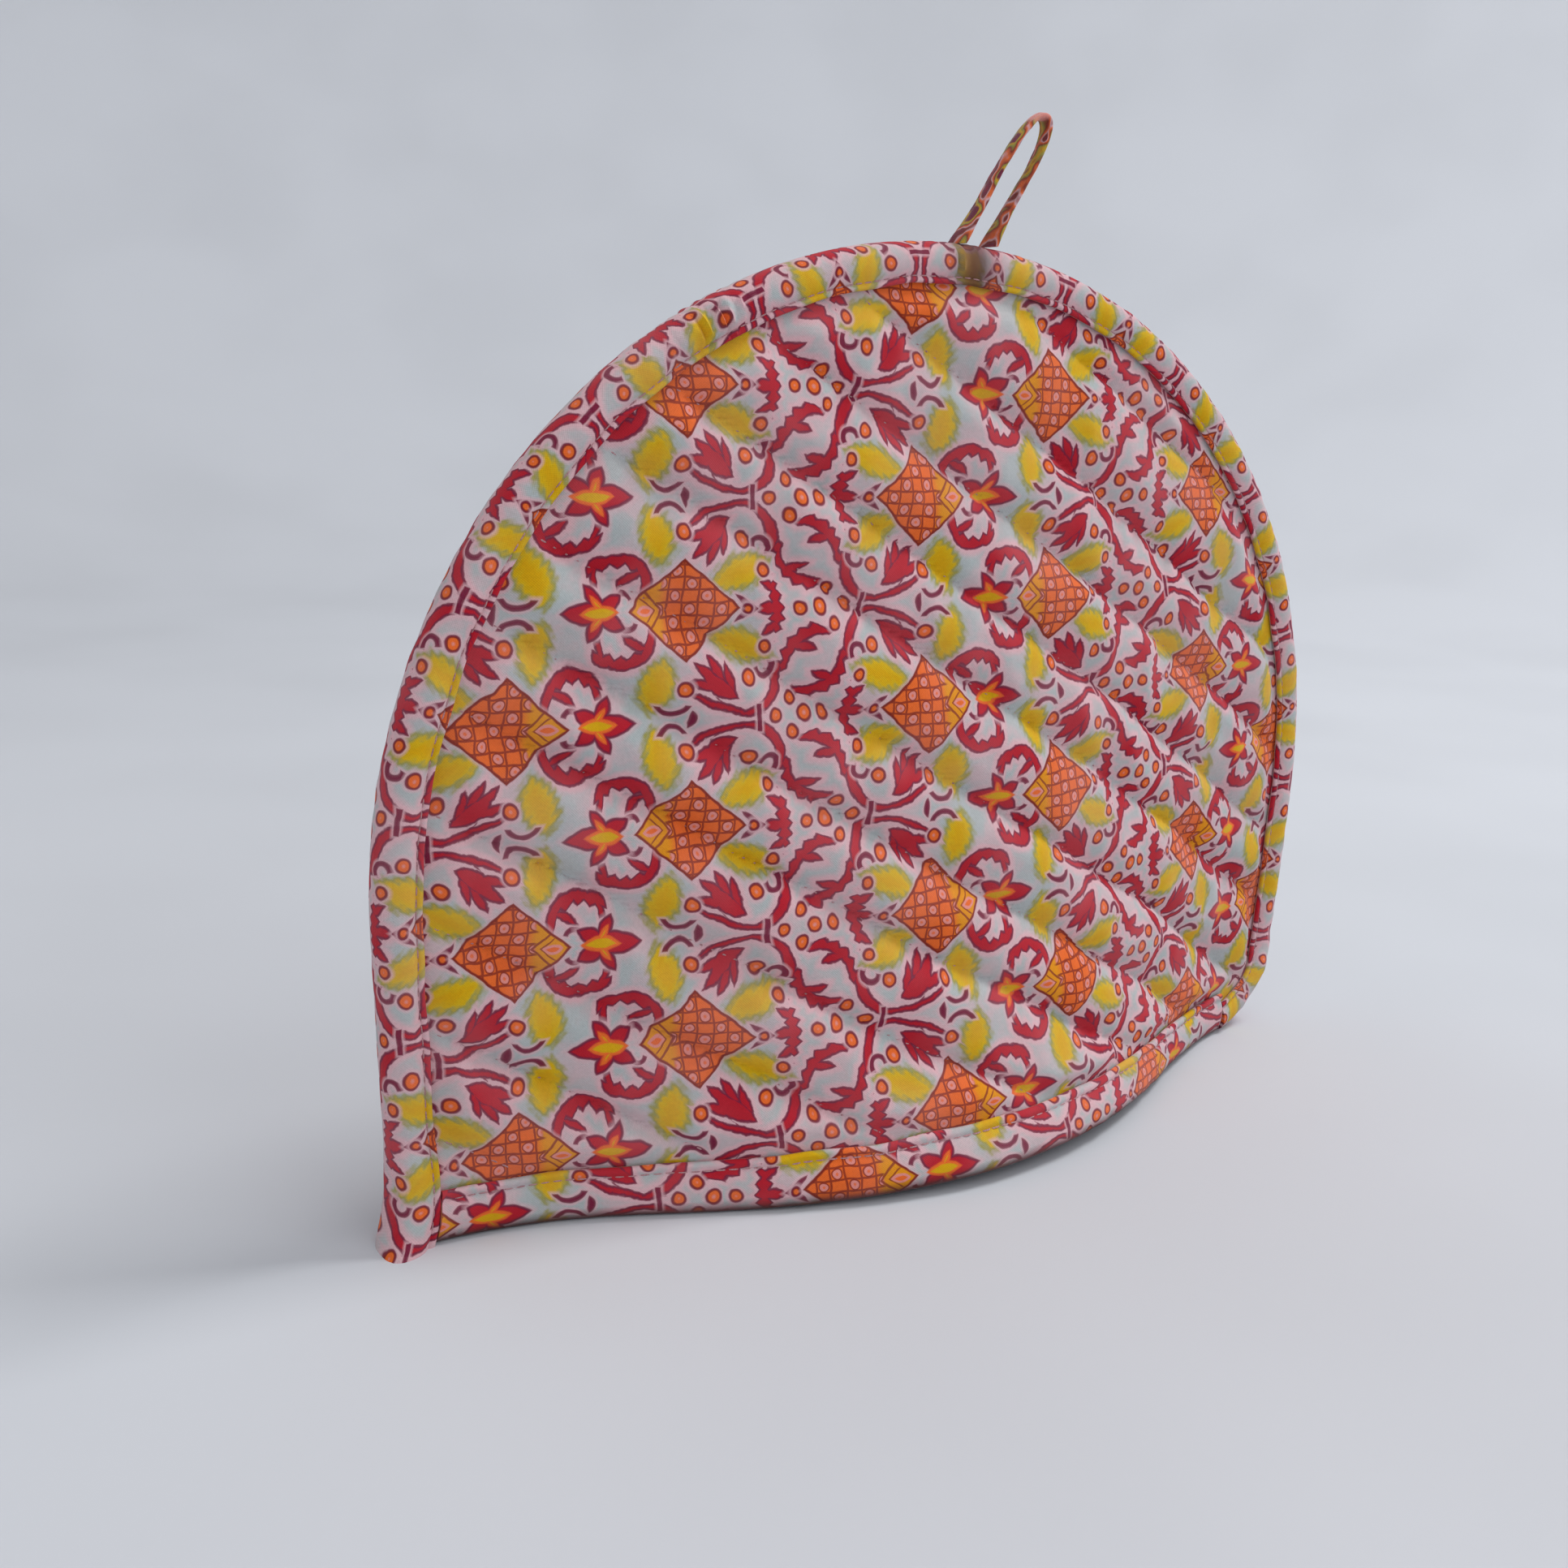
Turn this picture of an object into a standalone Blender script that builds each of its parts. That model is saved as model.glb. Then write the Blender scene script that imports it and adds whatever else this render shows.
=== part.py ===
"""Tea cosy: two quilted half-moon panels, bound together round the sides and the arch.

The cosy stands open on its hem. Metres, +Z up, the front faces -Y. The origin is at the
middle of the mouth, on the surface that the hem rests on.

Places on the cloth are given as (along, height, outward): the distance along the cloth
from its middle line, the height above the hem, and the distance out from the lining face.
"""

import math

import bmesh
import bpy
from mathutils import Vector

NAME = "tea_cosy"

# Cut panel: straight sides with a half circle on them.
PANEL_WIDTH = 0.320
SIDE_HEIGHT = 0.080
ARCH_RADIUS = PANEL_WIDTH / 2
PANEL_HEIGHT = SIDE_HEIGHT + ARCH_RADIUS
CORNER_RADIUS = 0.028
CORNER_STEPS = 7

# Form: the panels part most at the hem and meet along the seam.
BOW_DEPTH = 0.0375
BOW_FADE = 1.35
SEAM_FLAT = 0.006
PANEL_GAP = 0.0003
HEM_SPREAD = 0.00175
SPREAD_START = 0.0145
SPREAD_END = 0.028
HEM_FLARE = 0.008
FLARE_REACH = 0.125
FLARE_HEIGHT = 0.075
FRONT_LIFT = 0.004
LIFT_CENTRE = 0.025
LIFT_REACH = 0.115
LIFT_HEIGHT = 0.070

# Quilting: padded channels that fall to the right at 30 degrees.
EDGE_THICKNESS = 0.0030
PUFF_HEIGHT = 0.0042
LINING_DENT = 0.0008
PUFF_POWER = 2.4
PUFF_START = 0.0115
PUFF_RISE = 0.010
HEM_PUFF_START = 0.0140
QUILT_ANGLE = math.radians(30)
SHOULDER = 0.14
CELL_LENGTH = 0.021
CUT_SNAP = 0.0003

# Stitched lines: the height at which each one crosses the panel's middle line.
QUILT_LINES = (
    {"line": 1, "height": -0.0600},
    {"line": 2, "height": -0.0330},
    {"line": 3, "height": -0.0060},
    {"line": 4, "height": 0.0216},
    {"line": 5, "height": 0.0494},
    {"line": 6, "height": 0.0735},
    {"line": 7, "height": 0.0994},
    {"line": 8, "height": 0.1292},
    {"line": 9, "height": 0.1532},
    {"line": 10, "height": 0.1810},
    {"line": 11, "height": 0.2070},
    {"line": 12, "height": 0.2397},
    {"line": 13, "height": 0.2670},
    {"line": 14, "height": 0.2945},
)

# Bindings: strips folded over the raw edges.
BINDING_WIDTH = 0.010
BINDING_WAVE = 0.0004
CLOTH = 0.0012
CLEARANCE = 0.0003
EDGE_CLEARANCE = 0.0005
HEM_CLEARANCE = 0.0006
HEM_WIDTH = 0.0135
HEM_LEFT_END = -0.1484
HEM_RIGHT_END = 0.1316
HEM_STEPS = 30
SIDE_STEPS = 6
BINDING_ARCH_STEPS = 42
BINDING_CORNER_TURN = math.radians(84)
TAIL_FLARE = 0.0025
TAIL_HEIGHT = 0.018

# Hanging loop: a folded strap, standing on the arch and leaning to the right.
LOOP_FOOT_X = 0.0076
LOOP_FOOT_SPLIT = 0.0108
LOOP_REACH = 0.0188
LOOP_NOD = 0.0034
LOOP_RISE = 0.0330
LOOP_BELLY = 0.0038
STRAP_WIDTH = 0.0046
STRAP_THICKNESS = 0.0018
LOOP_STEPS = 26
STRAP_SIDES = 10
LOOP_TWIST = math.radians(10)

FRONT = -1
BACK = 1

# Strip section over both panels: distance in from the edge, distance from the seam plane.
EDGE_HALF = EDGE_THICKNESS + PANEL_GAP / 2
EDGE_CAVITY = EDGE_HALF + EDGE_CLEARANCE
EDGE_SECTION = (
    {"inward": 1.00, "reach": EDGE_CAVITY + CLOTH},
    {"inward": 0.60, "reach": EDGE_CAVITY + 1.25 * CLOTH},
    {"inward": 0.24, "reach": EDGE_CAVITY + 1.10 * CLOTH},
    {"inward": 0.08, "reach": EDGE_CAVITY + 0.60 * CLOTH},
    {"inward": 0.00, "reach": EDGE_CAVITY - 0.70 * CLOTH},
)

# Strip section over one panel's hem: share of its height, distance past the strip's seat.
HEM_SECTION = (
    {"height": 1.00, "past": 1.00},
    {"height": 0.55, "past": 1.25},
    {"height": 0.18, "past": 1.10},
    {"height": 0.05, "past": 0.50},
    {"height": 0.00, "past": -0.50},
)


def smooth_step(value, low, high):
    """Returns 0 below low and 1 above high, with a soft change between."""
    ratio = min(max((value - low) / (high - low), 0.0), 1.0)
    return ratio * ratio * (3 - 2 * ratio)


def half_width(height):
    """Returns half the width of the cut cloth at a height."""
    over = min(max(height - SIDE_HEIGHT, 0.0), ARCH_RADIUS)
    return math.sqrt(max(ARCH_RADIUS ** 2 - over ** 2, 0.0))


def edge_distance(along, height):
    """Returns how far a point of the cloth lies in from the sides and the arch."""
    if height <= SIDE_HEIGHT:
        return ARCH_RADIUS - abs(along)
    return ARCH_RADIUS - math.hypot(along, height - SIDE_HEIGHT)


def bow_at(height):
    """Returns how far the middle of a panel stands off the seam plane."""
    return BOW_DEPTH * max(1 - height / PANEL_HEIGHT, 0.0) ** BOW_FADE


def hem_flare(along, height):
    """Returns how much further the panel swings out towards the middle of its hem."""
    if abs(along) >= FLARE_REACH or height >= FLARE_HEIGHT:
        return 0.0
    across = (1 - (along / FLARE_REACH) ** 2) ** 2
    return HEM_FLARE * across * (1 - height / FLARE_HEIGHT) ** 2


def section_at(along, height):
    """Returns x, the stand-off and the slope of the lining face."""
    reach = max(half_width(height) - SEAM_FLAT, 0.002)
    ratio = min(max(along / reach, -1.0), 1.0)
    depth = bow_at(height)
    taken_up = ratio ** 3 / 3 - 2 * ratio ** 5 / 5 + ratio ** 7 / 7
    x = along - 8 * depth ** 2 / reach * taken_up
    spread = HEM_SPREAD * (1 - smooth_step(height, SPREAD_START, SPREAD_END))
    stand_off = PANEL_GAP / 2 + spread + depth * (1 - ratio ** 2) ** 2 + hem_flare(along, height)
    slope = 4 * depth / reach * ratio * (1 - ratio ** 2)
    return x, stand_off, slope


def hem_lift(along, height):
    """Returns how far the front hem is raised off the surface in its middle."""
    if abs(along - LIFT_CENTRE) >= LIFT_REACH or height >= LIFT_HEIGHT:
        return 0.0
    across = (1 - ((along - LIFT_CENTRE) / LIFT_REACH) ** 2) ** 2
    upward = (1 - height / LIFT_HEIGHT) ** 2
    return FRONT_LIFT * across * upward


def place(along, height, outward, side):
    """Returns the point in space of a point of the cloth on the front or back panel.

    On the back panel, along runs to the right as seen from behind.
    """
    x, stand_off, slope = section_at(along, height)
    level = math.sqrt(max(1 - slope ** 2, 0.0))
    right = x + slope * outward
    away = stand_off + level * outward
    if side == FRONT:
        return (right, -away, height + hem_lift(along, height))
    return (-right, away, height)


def quilt_line_across(height):
    """Returns a line's distance across the channels from the panel's corner of measure."""
    return height * math.cos(QUILT_ANGLE)


LINE_PLACES = tuple(quilt_line_across(row["height"]) for row in QUILT_LINES)


def puff_at(along, height):
    """Returns 0 on a stitched line and 1 on the crest of a channel."""
    across = height * math.cos(QUILT_ANGLE) + along * math.sin(QUILT_ANGLE)
    for low, high in zip(LINE_PLACES, LINE_PLACES[1:]):
        if low <= across <= high:
            ratio = (across - low) / (high - low)
            return 1 - abs(2 * ratio - 1) ** PUFF_POWER
    return 0.0


def padding_mask(along, height):
    """Returns 0 under the bindings, where the wadding is pressed flat, and 1 further in."""
    from_edge = smooth_step(edge_distance(along, height), PUFF_START, PUFF_START + PUFF_RISE)
    from_hem = smooth_step(height, HEM_PUFF_START, HEM_PUFF_START + PUFF_RISE)
    return from_edge * from_hem


def panel_outline(side, inset, hem_inset):
    """Returns a line all round the panel, inset from its edge, from the lower left corner."""
    radius = ARCH_RADIUS - inset
    corner = CORNER_RADIUS - inset
    points = [(-radius, hem_inset)]
    points += [(along, hem_inset) for along in hem_places()[1:-1]]
    for step in range(CORNER_STEPS + 1):
        turn = math.pi / 2 * (1 - step / CORNER_STEPS)
        along = ARCH_RADIUS - CORNER_RADIUS + corner * math.cos(turn)
        points.append((along, CORNER_RADIUS - corner * math.sin(turn)))
    points += [(radius, height) for height in reversed(right_side_heights())]
    for step in range(BINDING_ARCH_STEPS + 1):
        turn = math.pi * step / BINDING_ARCH_STEPS
        points.append((radius * math.cos(turn), SIDE_HEIGHT + radius * math.sin(turn)))
    points += [(-radius, height) for height in reversed(left_side_heights())]
    if side == BACK:
        points = [(-along, height) for along, height in reversed(points)]
    return points


def hem_places():
    """Returns the places along the cloth where the hem binding has a section."""
    width = HEM_RIGHT_END - HEM_LEFT_END
    return [HEM_LEFT_END + width * step / HEM_STEPS for step in range(HEM_STEPS + 1)]


def left_side_heights():
    """Returns the heights of the binding's sections on the left side, going up."""
    return [SIDE_HEIGHT * step / SIDE_STEPS for step in range(1, SIDE_STEPS)]


def right_side_heights():
    """Returns the heights of the binding's sections on the right side, going down."""
    drop = SIDE_HEIGHT - CORNER_RADIUS
    return [SIDE_HEIGHT - drop * step / SIDE_STEPS for step in range(1, SIDE_STEPS)]


def cut_flat(mesh, padded, along, height, normal):
    """Cuts the padded faces along the line through a point, square to normal."""
    edges = {edge for face in padded for edge in face.edges}
    corners = {vertex for face in padded for vertex in face.verts}
    done = bmesh.ops.bisect_plane(
        mesh,
        geom=list(corners) + list(edges) + padded,
        dist=CUT_SNAP,
        plane_co=(along, 0.0, height),
        plane_no=(normal[0], 0.0, normal[1]),
        use_snap_center=True,
    )
    return [item for item in done["geom"] if isinstance(item, bmesh.types.BMFace)]


def cut_channels(mesh, padded):
    """Cuts the padded faces on the stitched lines, the crests and the shoulders."""
    across = (math.sin(QUILT_ANGLE), math.cos(QUILT_ANGLE))
    lengthways = (math.cos(QUILT_ANGLE), -math.sin(QUILT_ANGLE))
    for low, high in zip(LINE_PLACES, LINE_PLACES[1:]):
        for ratio in (0.0, SHOULDER, 0.5, 1 - SHOULDER):
            distance = low + (high - low) * ratio
            padded = cut_flat(mesh, padded, across[0] * distance, across[1] * distance, across)
    count = math.ceil(PANEL_WIDTH / CELL_LENGTH)
    for step in range(-count, count + 1):
        distance = step * CELL_LENGTH
        place_x, place_z = lengthways[0] * distance, lengthways[1] * distance
        padded = cut_flat(mesh, padded, place_x, place_z, lengthways)


def make_panel(name, side):
    """Makes one quilted panel: the cut cloth, its channels, then its thickness and bow."""
    mesh = bmesh.new()
    outer, inner = (
        [mesh.verts.new((along, 0.0, height)) for along, height in panel_outline(side, *insets)]
        for insets in ((CLOTH + CLEARANCE, CLOTH + CLEARANCE), (PUFF_START, HEM_PUFF_START))
    )
    for index in range(len(outer)):
        after = (index + 1) % len(outer)
        mesh.faces.new((outer[index], outer[after], inner[after], inner[index]))
    cut_channels(mesh, [mesh.faces.new(inner)])
    bmesh.ops.recalc_face_normals(mesh, faces=mesh.faces[:])
    bmesh.ops.solidify(mesh, geom=mesh.faces[:], thickness=EDGE_THICKNESS)
    middle = sum(vertex.co.y for vertex in mesh.verts) / len(mesh.verts)
    for vertex in mesh.verts:
        along, layer, height = vertex.co
        mask = padding_mask(along, height)
        puff = puff_at(along, height)
        outward = LINING_DENT * (1 - puff) * mask
        if layer < middle:
            outward = EDGE_THICKNESS + PUFF_HEIGHT * puff * mask
        vertex.co = place(along, height, outward, side)
    bmesh.ops.recalc_face_normals(mesh, faces=mesh.faces[:])
    return finish(name, mesh)


def binding_stations():
    """Returns the outer edge of the binding: along, height, and the way in from it."""
    stations = []
    for height in [0.0] + left_side_heights():
        flare = TAIL_FLARE * max(1 - height / TAIL_HEIGHT, 0.0) ** 2
        stations.append((-ARCH_RADIUS - flare, height, 1.0, 0.0))
    for step in range(BINDING_ARCH_STEPS + 1):
        turn = math.pi * (1 - step / BINDING_ARCH_STEPS)
        in_x, in_z = -math.cos(turn), -math.sin(turn)
        stations.append((-ARCH_RADIUS * in_x, SIDE_HEIGHT - ARCH_RADIUS * in_z, in_x, in_z))
    stations += [(ARCH_RADIUS, height, -1.0, 0.0) for height in right_side_heights()]
    for step in range(CORNER_STEPS + 1):
        turn = BINDING_CORNER_TURN * step / CORNER_STEPS
        in_x, in_z = -math.cos(turn), math.sin(turn)
        along = ARCH_RADIUS - CORNER_RADIUS - CORNER_RADIUS * in_x
        stations.append((along, CORNER_RADIUS - CORNER_RADIUS * in_z, in_x, in_z))
    return stations


def edge_ring(station, number):
    """Returns the section of the edge binding at a station, as points in space."""
    along, height, in_x, in_z = station
    width = BINDING_WIDTH + BINDING_WAVE * math.sin(1.7 * number)
    seat = CLOTH
    outer = [(row["inward"] * width, row["reach"]) for row in EDGE_SECTION]
    inner = [(seat, EDGE_CAVITY), (width, EDGE_CAVITY)]
    front = outer + [(inward, -reach) for inward, reach in reversed(outer)]
    ring = front + [(inward, -reach) for inward, reach in reversed(inner)] + inner
    points = []
    for inward, reach in ring:
        cloth_along = along + in_x * inward
        cloth_height = height + in_z * inward
        x, stand_off, _ = section_at(cloth_along, cloth_height)
        away = abs(reach) + stand_off - PANEL_GAP / 2
        points.append((x, math.copysign(away, -reach), cloth_height))
    return points


def hem_ring(along, side):
    """Returns the section of a hem binding at a place along the cloth."""
    outside = EDGE_THICKNESS + HEM_CLEARANCE
    outer = [(row["height"] * HEM_WIDTH, row["past"] * CLOTH) for row in HEM_SECTION]
    ring = [(height, outside + past) for height, past in outer]
    ring += [(height, -HEM_CLEARANCE - past) for height, past in reversed(outer)]
    floor = CLOTH - CLEARANCE + HEM_CLEARANCE / 2
    ring += [(HEM_WIDTH, -HEM_CLEARANCE), (floor, -HEM_CLEARANCE)]
    ring += [(floor, outside), (HEM_WIDTH, outside)]
    return [place(along, height, outward, side) for height, outward in ring]


def loft(name, rings):
    """Joins unlike sections of equal point count into one closed body."""
    mesh = bmesh.new()
    rows = [[mesh.verts.new(point) for point in ring] for ring in rings]
    count = len(rings[0])
    for lower, upper in zip(rows, rows[1:]):
        for index in range(count):
            after = (index + 1) % count
            mesh.faces.new((lower[index], lower[after], upper[after], upper[index]))
    mesh.faces.new(reversed(rows[0]))
    mesh.faces.new(rows[-1])
    bmesh.ops.recalc_face_normals(mesh, faces=mesh.faces[:])
    return finish(name, mesh)


def make_edge_binding():
    """Makes the strip folded over both panels round the sides and the arch."""
    rings = [edge_ring(station, number) for number, station in enumerate(binding_stations())]
    return loft("edge_binding", rings)


def make_hem_binding(name, side):
    """Makes the strip folded over the bottom edge of one panel."""
    rings = [hem_ring(along if side == FRONT else -along, side) for along in hem_places()]
    return loft(name, rings)


def loop_centre(ratio):
    """Returns the middle of the strap, from the left foot over the top to the right one."""
    turn = math.pi * ratio
    climb = math.sin(turn) ** 0.9
    lean = math.atan2(LOOP_REACH, LOOP_RISE)
    feet = -(LOOP_FOOT_SPLIT / 2) * math.cos(turn) * (1 - math.sin(turn))
    belly = -LOOP_BELLY * math.sin(2 * turn) * math.sin(turn) ** 0.5
    x = LOOP_FOOT_X + feet + LOOP_REACH * climb + belly * math.cos(lean)
    z = PANEL_HEIGHT + CLEARANCE + LOOP_RISE * climb - belly * math.sin(lean)
    return Vector((x, -LOOP_NOD * climb, z))


def make_loop():
    """Makes the hanging loop, a soft flat strap bent double."""
    rings = []
    for step in range(LOOP_STEPS + 1):
        ratio = step / LOOP_STEPS
        centre = loop_centre(ratio)
        run = loop_centre(min(ratio + 0.01, 1.0)) - loop_centre(max(ratio - 0.01, 0.0))
        sideways = Vector((run.z, 0.0, -run.x)).normalized()
        if step in (0, LOOP_STEPS):
            sideways = Vector((math.copysign(1.0, run.z), 0.0, 0.0))
        twist = LOOP_TWIST * math.sin(2 * math.pi * ratio)
        ring = []
        for corner in range(STRAP_SIDES):
            turn = 2 * math.pi * corner / STRAP_SIDES
            flat = STRAP_WIDTH / 2 * math.cos(turn)
            thick = STRAP_THICKNESS / 2 * math.sin(turn)
            depth = flat * math.cos(twist) - thick * math.sin(twist)
            offset = flat * math.sin(twist) + thick * math.cos(twist)
            ring.append(centre + sideways * offset + Vector((0.0, depth, 0.0)))
        rings.append(ring)
    return loft("hanging_loop", rings)


def finish(name, mesh):
    """Turns a bmesh into a smooth-shaded object in the cosy's collection."""
    data = bpy.data.meshes.new(name)
    mesh.to_mesh(data)
    mesh.free()
    data.shade_smooth()
    data.set_sharp_from_angle(angle=math.radians(50))
    made = bpy.data.objects.new(name, data)
    bpy.data.collections[NAME].objects.link(made)
    return made


def dress(made, colour, roughness):
    """Gives a piece its own plain cloth material."""
    material = bpy.data.materials.new(made.name + "_cloth")
    material.use_nodes = True
    shader = material.node_tree.nodes["Principled BSDF"]
    shader.inputs["Base Color"].default_value = (*colour, 1.0)
    shader.inputs["Roughness"].default_value = roughness
    shader.inputs["Metallic"].default_value = 0.0
    made.data.materials.append(material)


def clear_scene():
    """Removes what a new file starts with and adds the cosy's collection."""
    for item in list(bpy.data.objects):
        bpy.data.objects.remove(item, do_unlink=True)
    collection = bpy.data.collections.new(NAME)
    bpy.context.scene.collection.children.link(collection)


def main():
    """Builds the cosy piece by piece."""
    clear_scene()
    print_cotton = (0.62, 0.36, 0.30)
    strip_cotton = (0.55, 0.24, 0.22)
    dress(make_panel("panel_front", FRONT), print_cotton, 0.9)
    dress(make_panel("panel_back", BACK), print_cotton, 0.9)
    dress(make_edge_binding(), strip_cotton, 0.9)
    dress(make_hem_binding("hem_binding_front", FRONT), strip_cotton, 0.9)
    dress(make_hem_binding("hem_binding_back", BACK), strip_cotton, 0.9)
    dress(make_loop(), strip_cotton, 0.9)


main()
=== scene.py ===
"""A quilted half-moon tea cosy in printed cotton, standing open on its hem.

Places on the cloth are (along, height, outward) in metres: the distance along a panel from
its middle line, the height above the hem, and the way out from the lining. Distances in the
printed pattern are in millimetres of cloth.
"""

import logging
import math
from abc import ABC, abstractmethod
from collections.abc import Callable, Iterator, Sequence
from contextlib import contextmanager
from dataclasses import dataclass, field
from enum import Enum
from functools import cached_property, reduce

import bpy
from mathutils import Matrix, Vector, noise


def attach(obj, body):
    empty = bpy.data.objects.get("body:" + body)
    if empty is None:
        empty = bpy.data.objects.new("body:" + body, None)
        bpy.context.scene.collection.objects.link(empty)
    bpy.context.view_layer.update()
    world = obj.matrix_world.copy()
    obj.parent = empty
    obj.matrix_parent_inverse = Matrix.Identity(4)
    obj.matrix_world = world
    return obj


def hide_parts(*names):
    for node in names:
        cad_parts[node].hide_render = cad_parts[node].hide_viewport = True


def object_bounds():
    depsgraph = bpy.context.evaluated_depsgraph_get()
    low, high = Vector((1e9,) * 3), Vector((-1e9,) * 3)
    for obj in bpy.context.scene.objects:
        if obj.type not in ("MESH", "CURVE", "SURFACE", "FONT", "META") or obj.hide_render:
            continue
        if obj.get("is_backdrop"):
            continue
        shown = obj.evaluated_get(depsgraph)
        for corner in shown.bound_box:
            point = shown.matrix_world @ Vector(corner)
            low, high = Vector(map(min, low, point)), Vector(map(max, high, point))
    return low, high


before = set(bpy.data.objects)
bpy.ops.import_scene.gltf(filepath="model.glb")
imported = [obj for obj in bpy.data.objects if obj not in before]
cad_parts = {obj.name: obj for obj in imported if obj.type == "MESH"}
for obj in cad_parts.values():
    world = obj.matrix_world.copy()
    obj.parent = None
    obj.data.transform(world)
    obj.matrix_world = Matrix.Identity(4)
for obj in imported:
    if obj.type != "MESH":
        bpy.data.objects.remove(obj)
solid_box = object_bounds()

log = logging.getLogger("tea_cosy")

Colour = tuple[float, float, float]
Point2 = tuple[float, float]
Stops = Sequence[tuple[float, Colour, float]]
Piece = bpy.types.Object
Finish = bpy.types.Material
Socket = bpy.types.NodeSocket

CLEAR = 0.0001  # How far sewing stands clear of the cloth.
HIDDEN_STEP = 0.002  # Cloth taken up by each step of a strip's hidden inside.
PAINTED_SHADE_UNIT = 0.001  # The print reads a place's third part in this unit, as how much painted shade it has.


class Side(Enum):
    """The two faces of the cosy."""

    FRONT = -1
    BACK = 1


class Layer(Enum):
    """The two faces of a quilted panel, and so the two slots of its mesh."""

    PRINT = 0
    LINING = 1


def soft_step(value: float, low: float, high: float) -> float:
    """Eases from 0 to 1.

    Args:
        value: The number to test.
        low: Where the rise starts.
        high: Where the rise ends.

    Returns:
        0 below low, 1 above high, and a soft change between.
    """
    ratio = min(max((value - low) / (high - low), 0.0), 1.0)
    return ratio * ratio * (3 - 2 * ratio)


def ripple(x: float, y: float, seed: float) -> float:
    """Smooth unevenness of about -1 to 1, at a place in wavelengths and for a seed."""
    return noise.noise(Vector((x, y, seed)))


def hump(distance: float, reach: float) -> float:
    """1 at no distance, fading to nothing past about twice the reach."""
    return math.exp(-((distance / reach) ** 2))


def swell(along: float, height: float, wide: float, high: float) -> float:
    """Fades from 1 at the middle of the hem to nothing.

    Args:
        along: Distance from the middle of the swell.
        height: Height above the hem.
        wide: How far to each side it reaches.
        high: How far up it reaches.

    Returns:
        The share of the swell that is left.
    """
    if abs(along) >= wide or height >= high:
        return 0.0
    return (1 - (along / wide) ** 2) ** 2 * (1 - height / high) ** 2


@dataclass(frozen=True)
class CosyForm:
    """The cut of a panel, and how it bows out at the hem and meets the other at the seam.

    Args:
        radius: Radius of the arch, which is half the width.
        side_height: Height of the straight sides.
        corner: Radius of the rounded lower corner.
        bow_depth: How far a panel bows out at the hem.
        bow_fade: How fast the bow fades upwards.
        seam_flat: Width along the seam where the panels lie flat together.
        gap: Distance between the two linings at the seam.
        hem_spread: How far the folded hems push the panels apart.
        spread_start: Height where that spread starts to fade.
        spread_end: Height where it has gone.
        flare: How much further the middle of the hem swings out.
        flare_reach: How far to each side the flare reaches.
        flare_height: How far up the flare reaches.
        front_lift: How far the front hem stands off the table.
        lift_centre: Where along the hem it stands highest.
        lift_reach: How far to each side the lift reaches.
        lift_height: How far up the lift reaches.
    """

    radius: float = 0.160
    side_height: float = 0.080
    corner: float = 0.028
    bow_depth: float = 0.0375
    bow_fade: float = 1.35
    seam_flat: float = 0.006
    gap: float = 0.0003
    hem_spread: float = 0.00175
    spread_start: float = 0.0145
    spread_end: float = 0.028
    flare: float = 0.008
    flare_reach: float = 0.125
    flare_height: float = 0.075
    front_lift: float = 0.004
    lift_centre: float = 0.025
    lift_reach: float = 0.115
    lift_height: float = 0.070

    @property
    def height(self) -> float:
        """The height of the cloth from hem to crown."""
        return self.side_height + self.radius

    def half_width(self, height: float) -> float:
        """Half the width of the cut cloth at a height."""
        over = min(max(height - self.side_height, 0.0), self.radius)
        return math.sqrt(max(self.radius**2 - over**2, 0.0))

    def edge_distance(self, along: float, height: float) -> float:
        """How far a point of the cloth lies in from the sides and the arch."""
        over = max(height - self.side_height, 0.0)
        return self.radius - math.hypot(along, over)

    def section(self, along: float, height: float) -> tuple[float, float, float]:
        """Follows the level section of a lining face.

        Args:
            along: Distance along the cloth from the middle line.
            height: Height above the hem.

        Returns:
            x, the distance from the seam plane, and the slope there.
        """
        reach = max(self.half_width(height) - self.seam_flat, 0.002)
        ratio = min(max(along / reach, -1.0), 1.0)
        depth = self.bow_depth * max(1 - height / self.height, 0.0) ** self.bow_fade
        taken_up = ratio**3 / 3 - 2 * ratio**5 / 5 + ratio**7 / 7
        x = along - 8 * depth**2 / reach * taken_up
        spread = self.hem_spread * (1 - soft_step(height, self.spread_start, self.spread_end))
        flare = self.flare * swell(along, height, self.flare_reach, self.flare_height)
        stand_off = self.gap / 2 + spread + depth * (1 - ratio**2) ** 2 + flare
        return x, stand_off, 4 * depth / reach * ratio * (1 - ratio**2)

    def place(self, along: float, height: float, outward: float, side: Side) -> Vector:
        """Finds where a point of the cloth stands.

        Args:
            along: Distance along the cloth, to the right as each panel is looked at.
            height: Height above the hem.
            outward: Distance out from the lining face.
            side: The panel.

        Returns:
            The point in space.
        """
        x, stand_off, slope = self.section(along, height)
        right = x + slope * outward
        away = stand_off + math.sqrt(max(1 - slope**2, 0.0)) * outward
        if side is Side.BACK:
            return Vector((-right, away, height))
        from_centre = along - self.lift_centre
        lift = self.front_lift * swell(from_centre, height, self.lift_reach, self.lift_height)
        return Vector((right, -away, height + lift))


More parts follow.
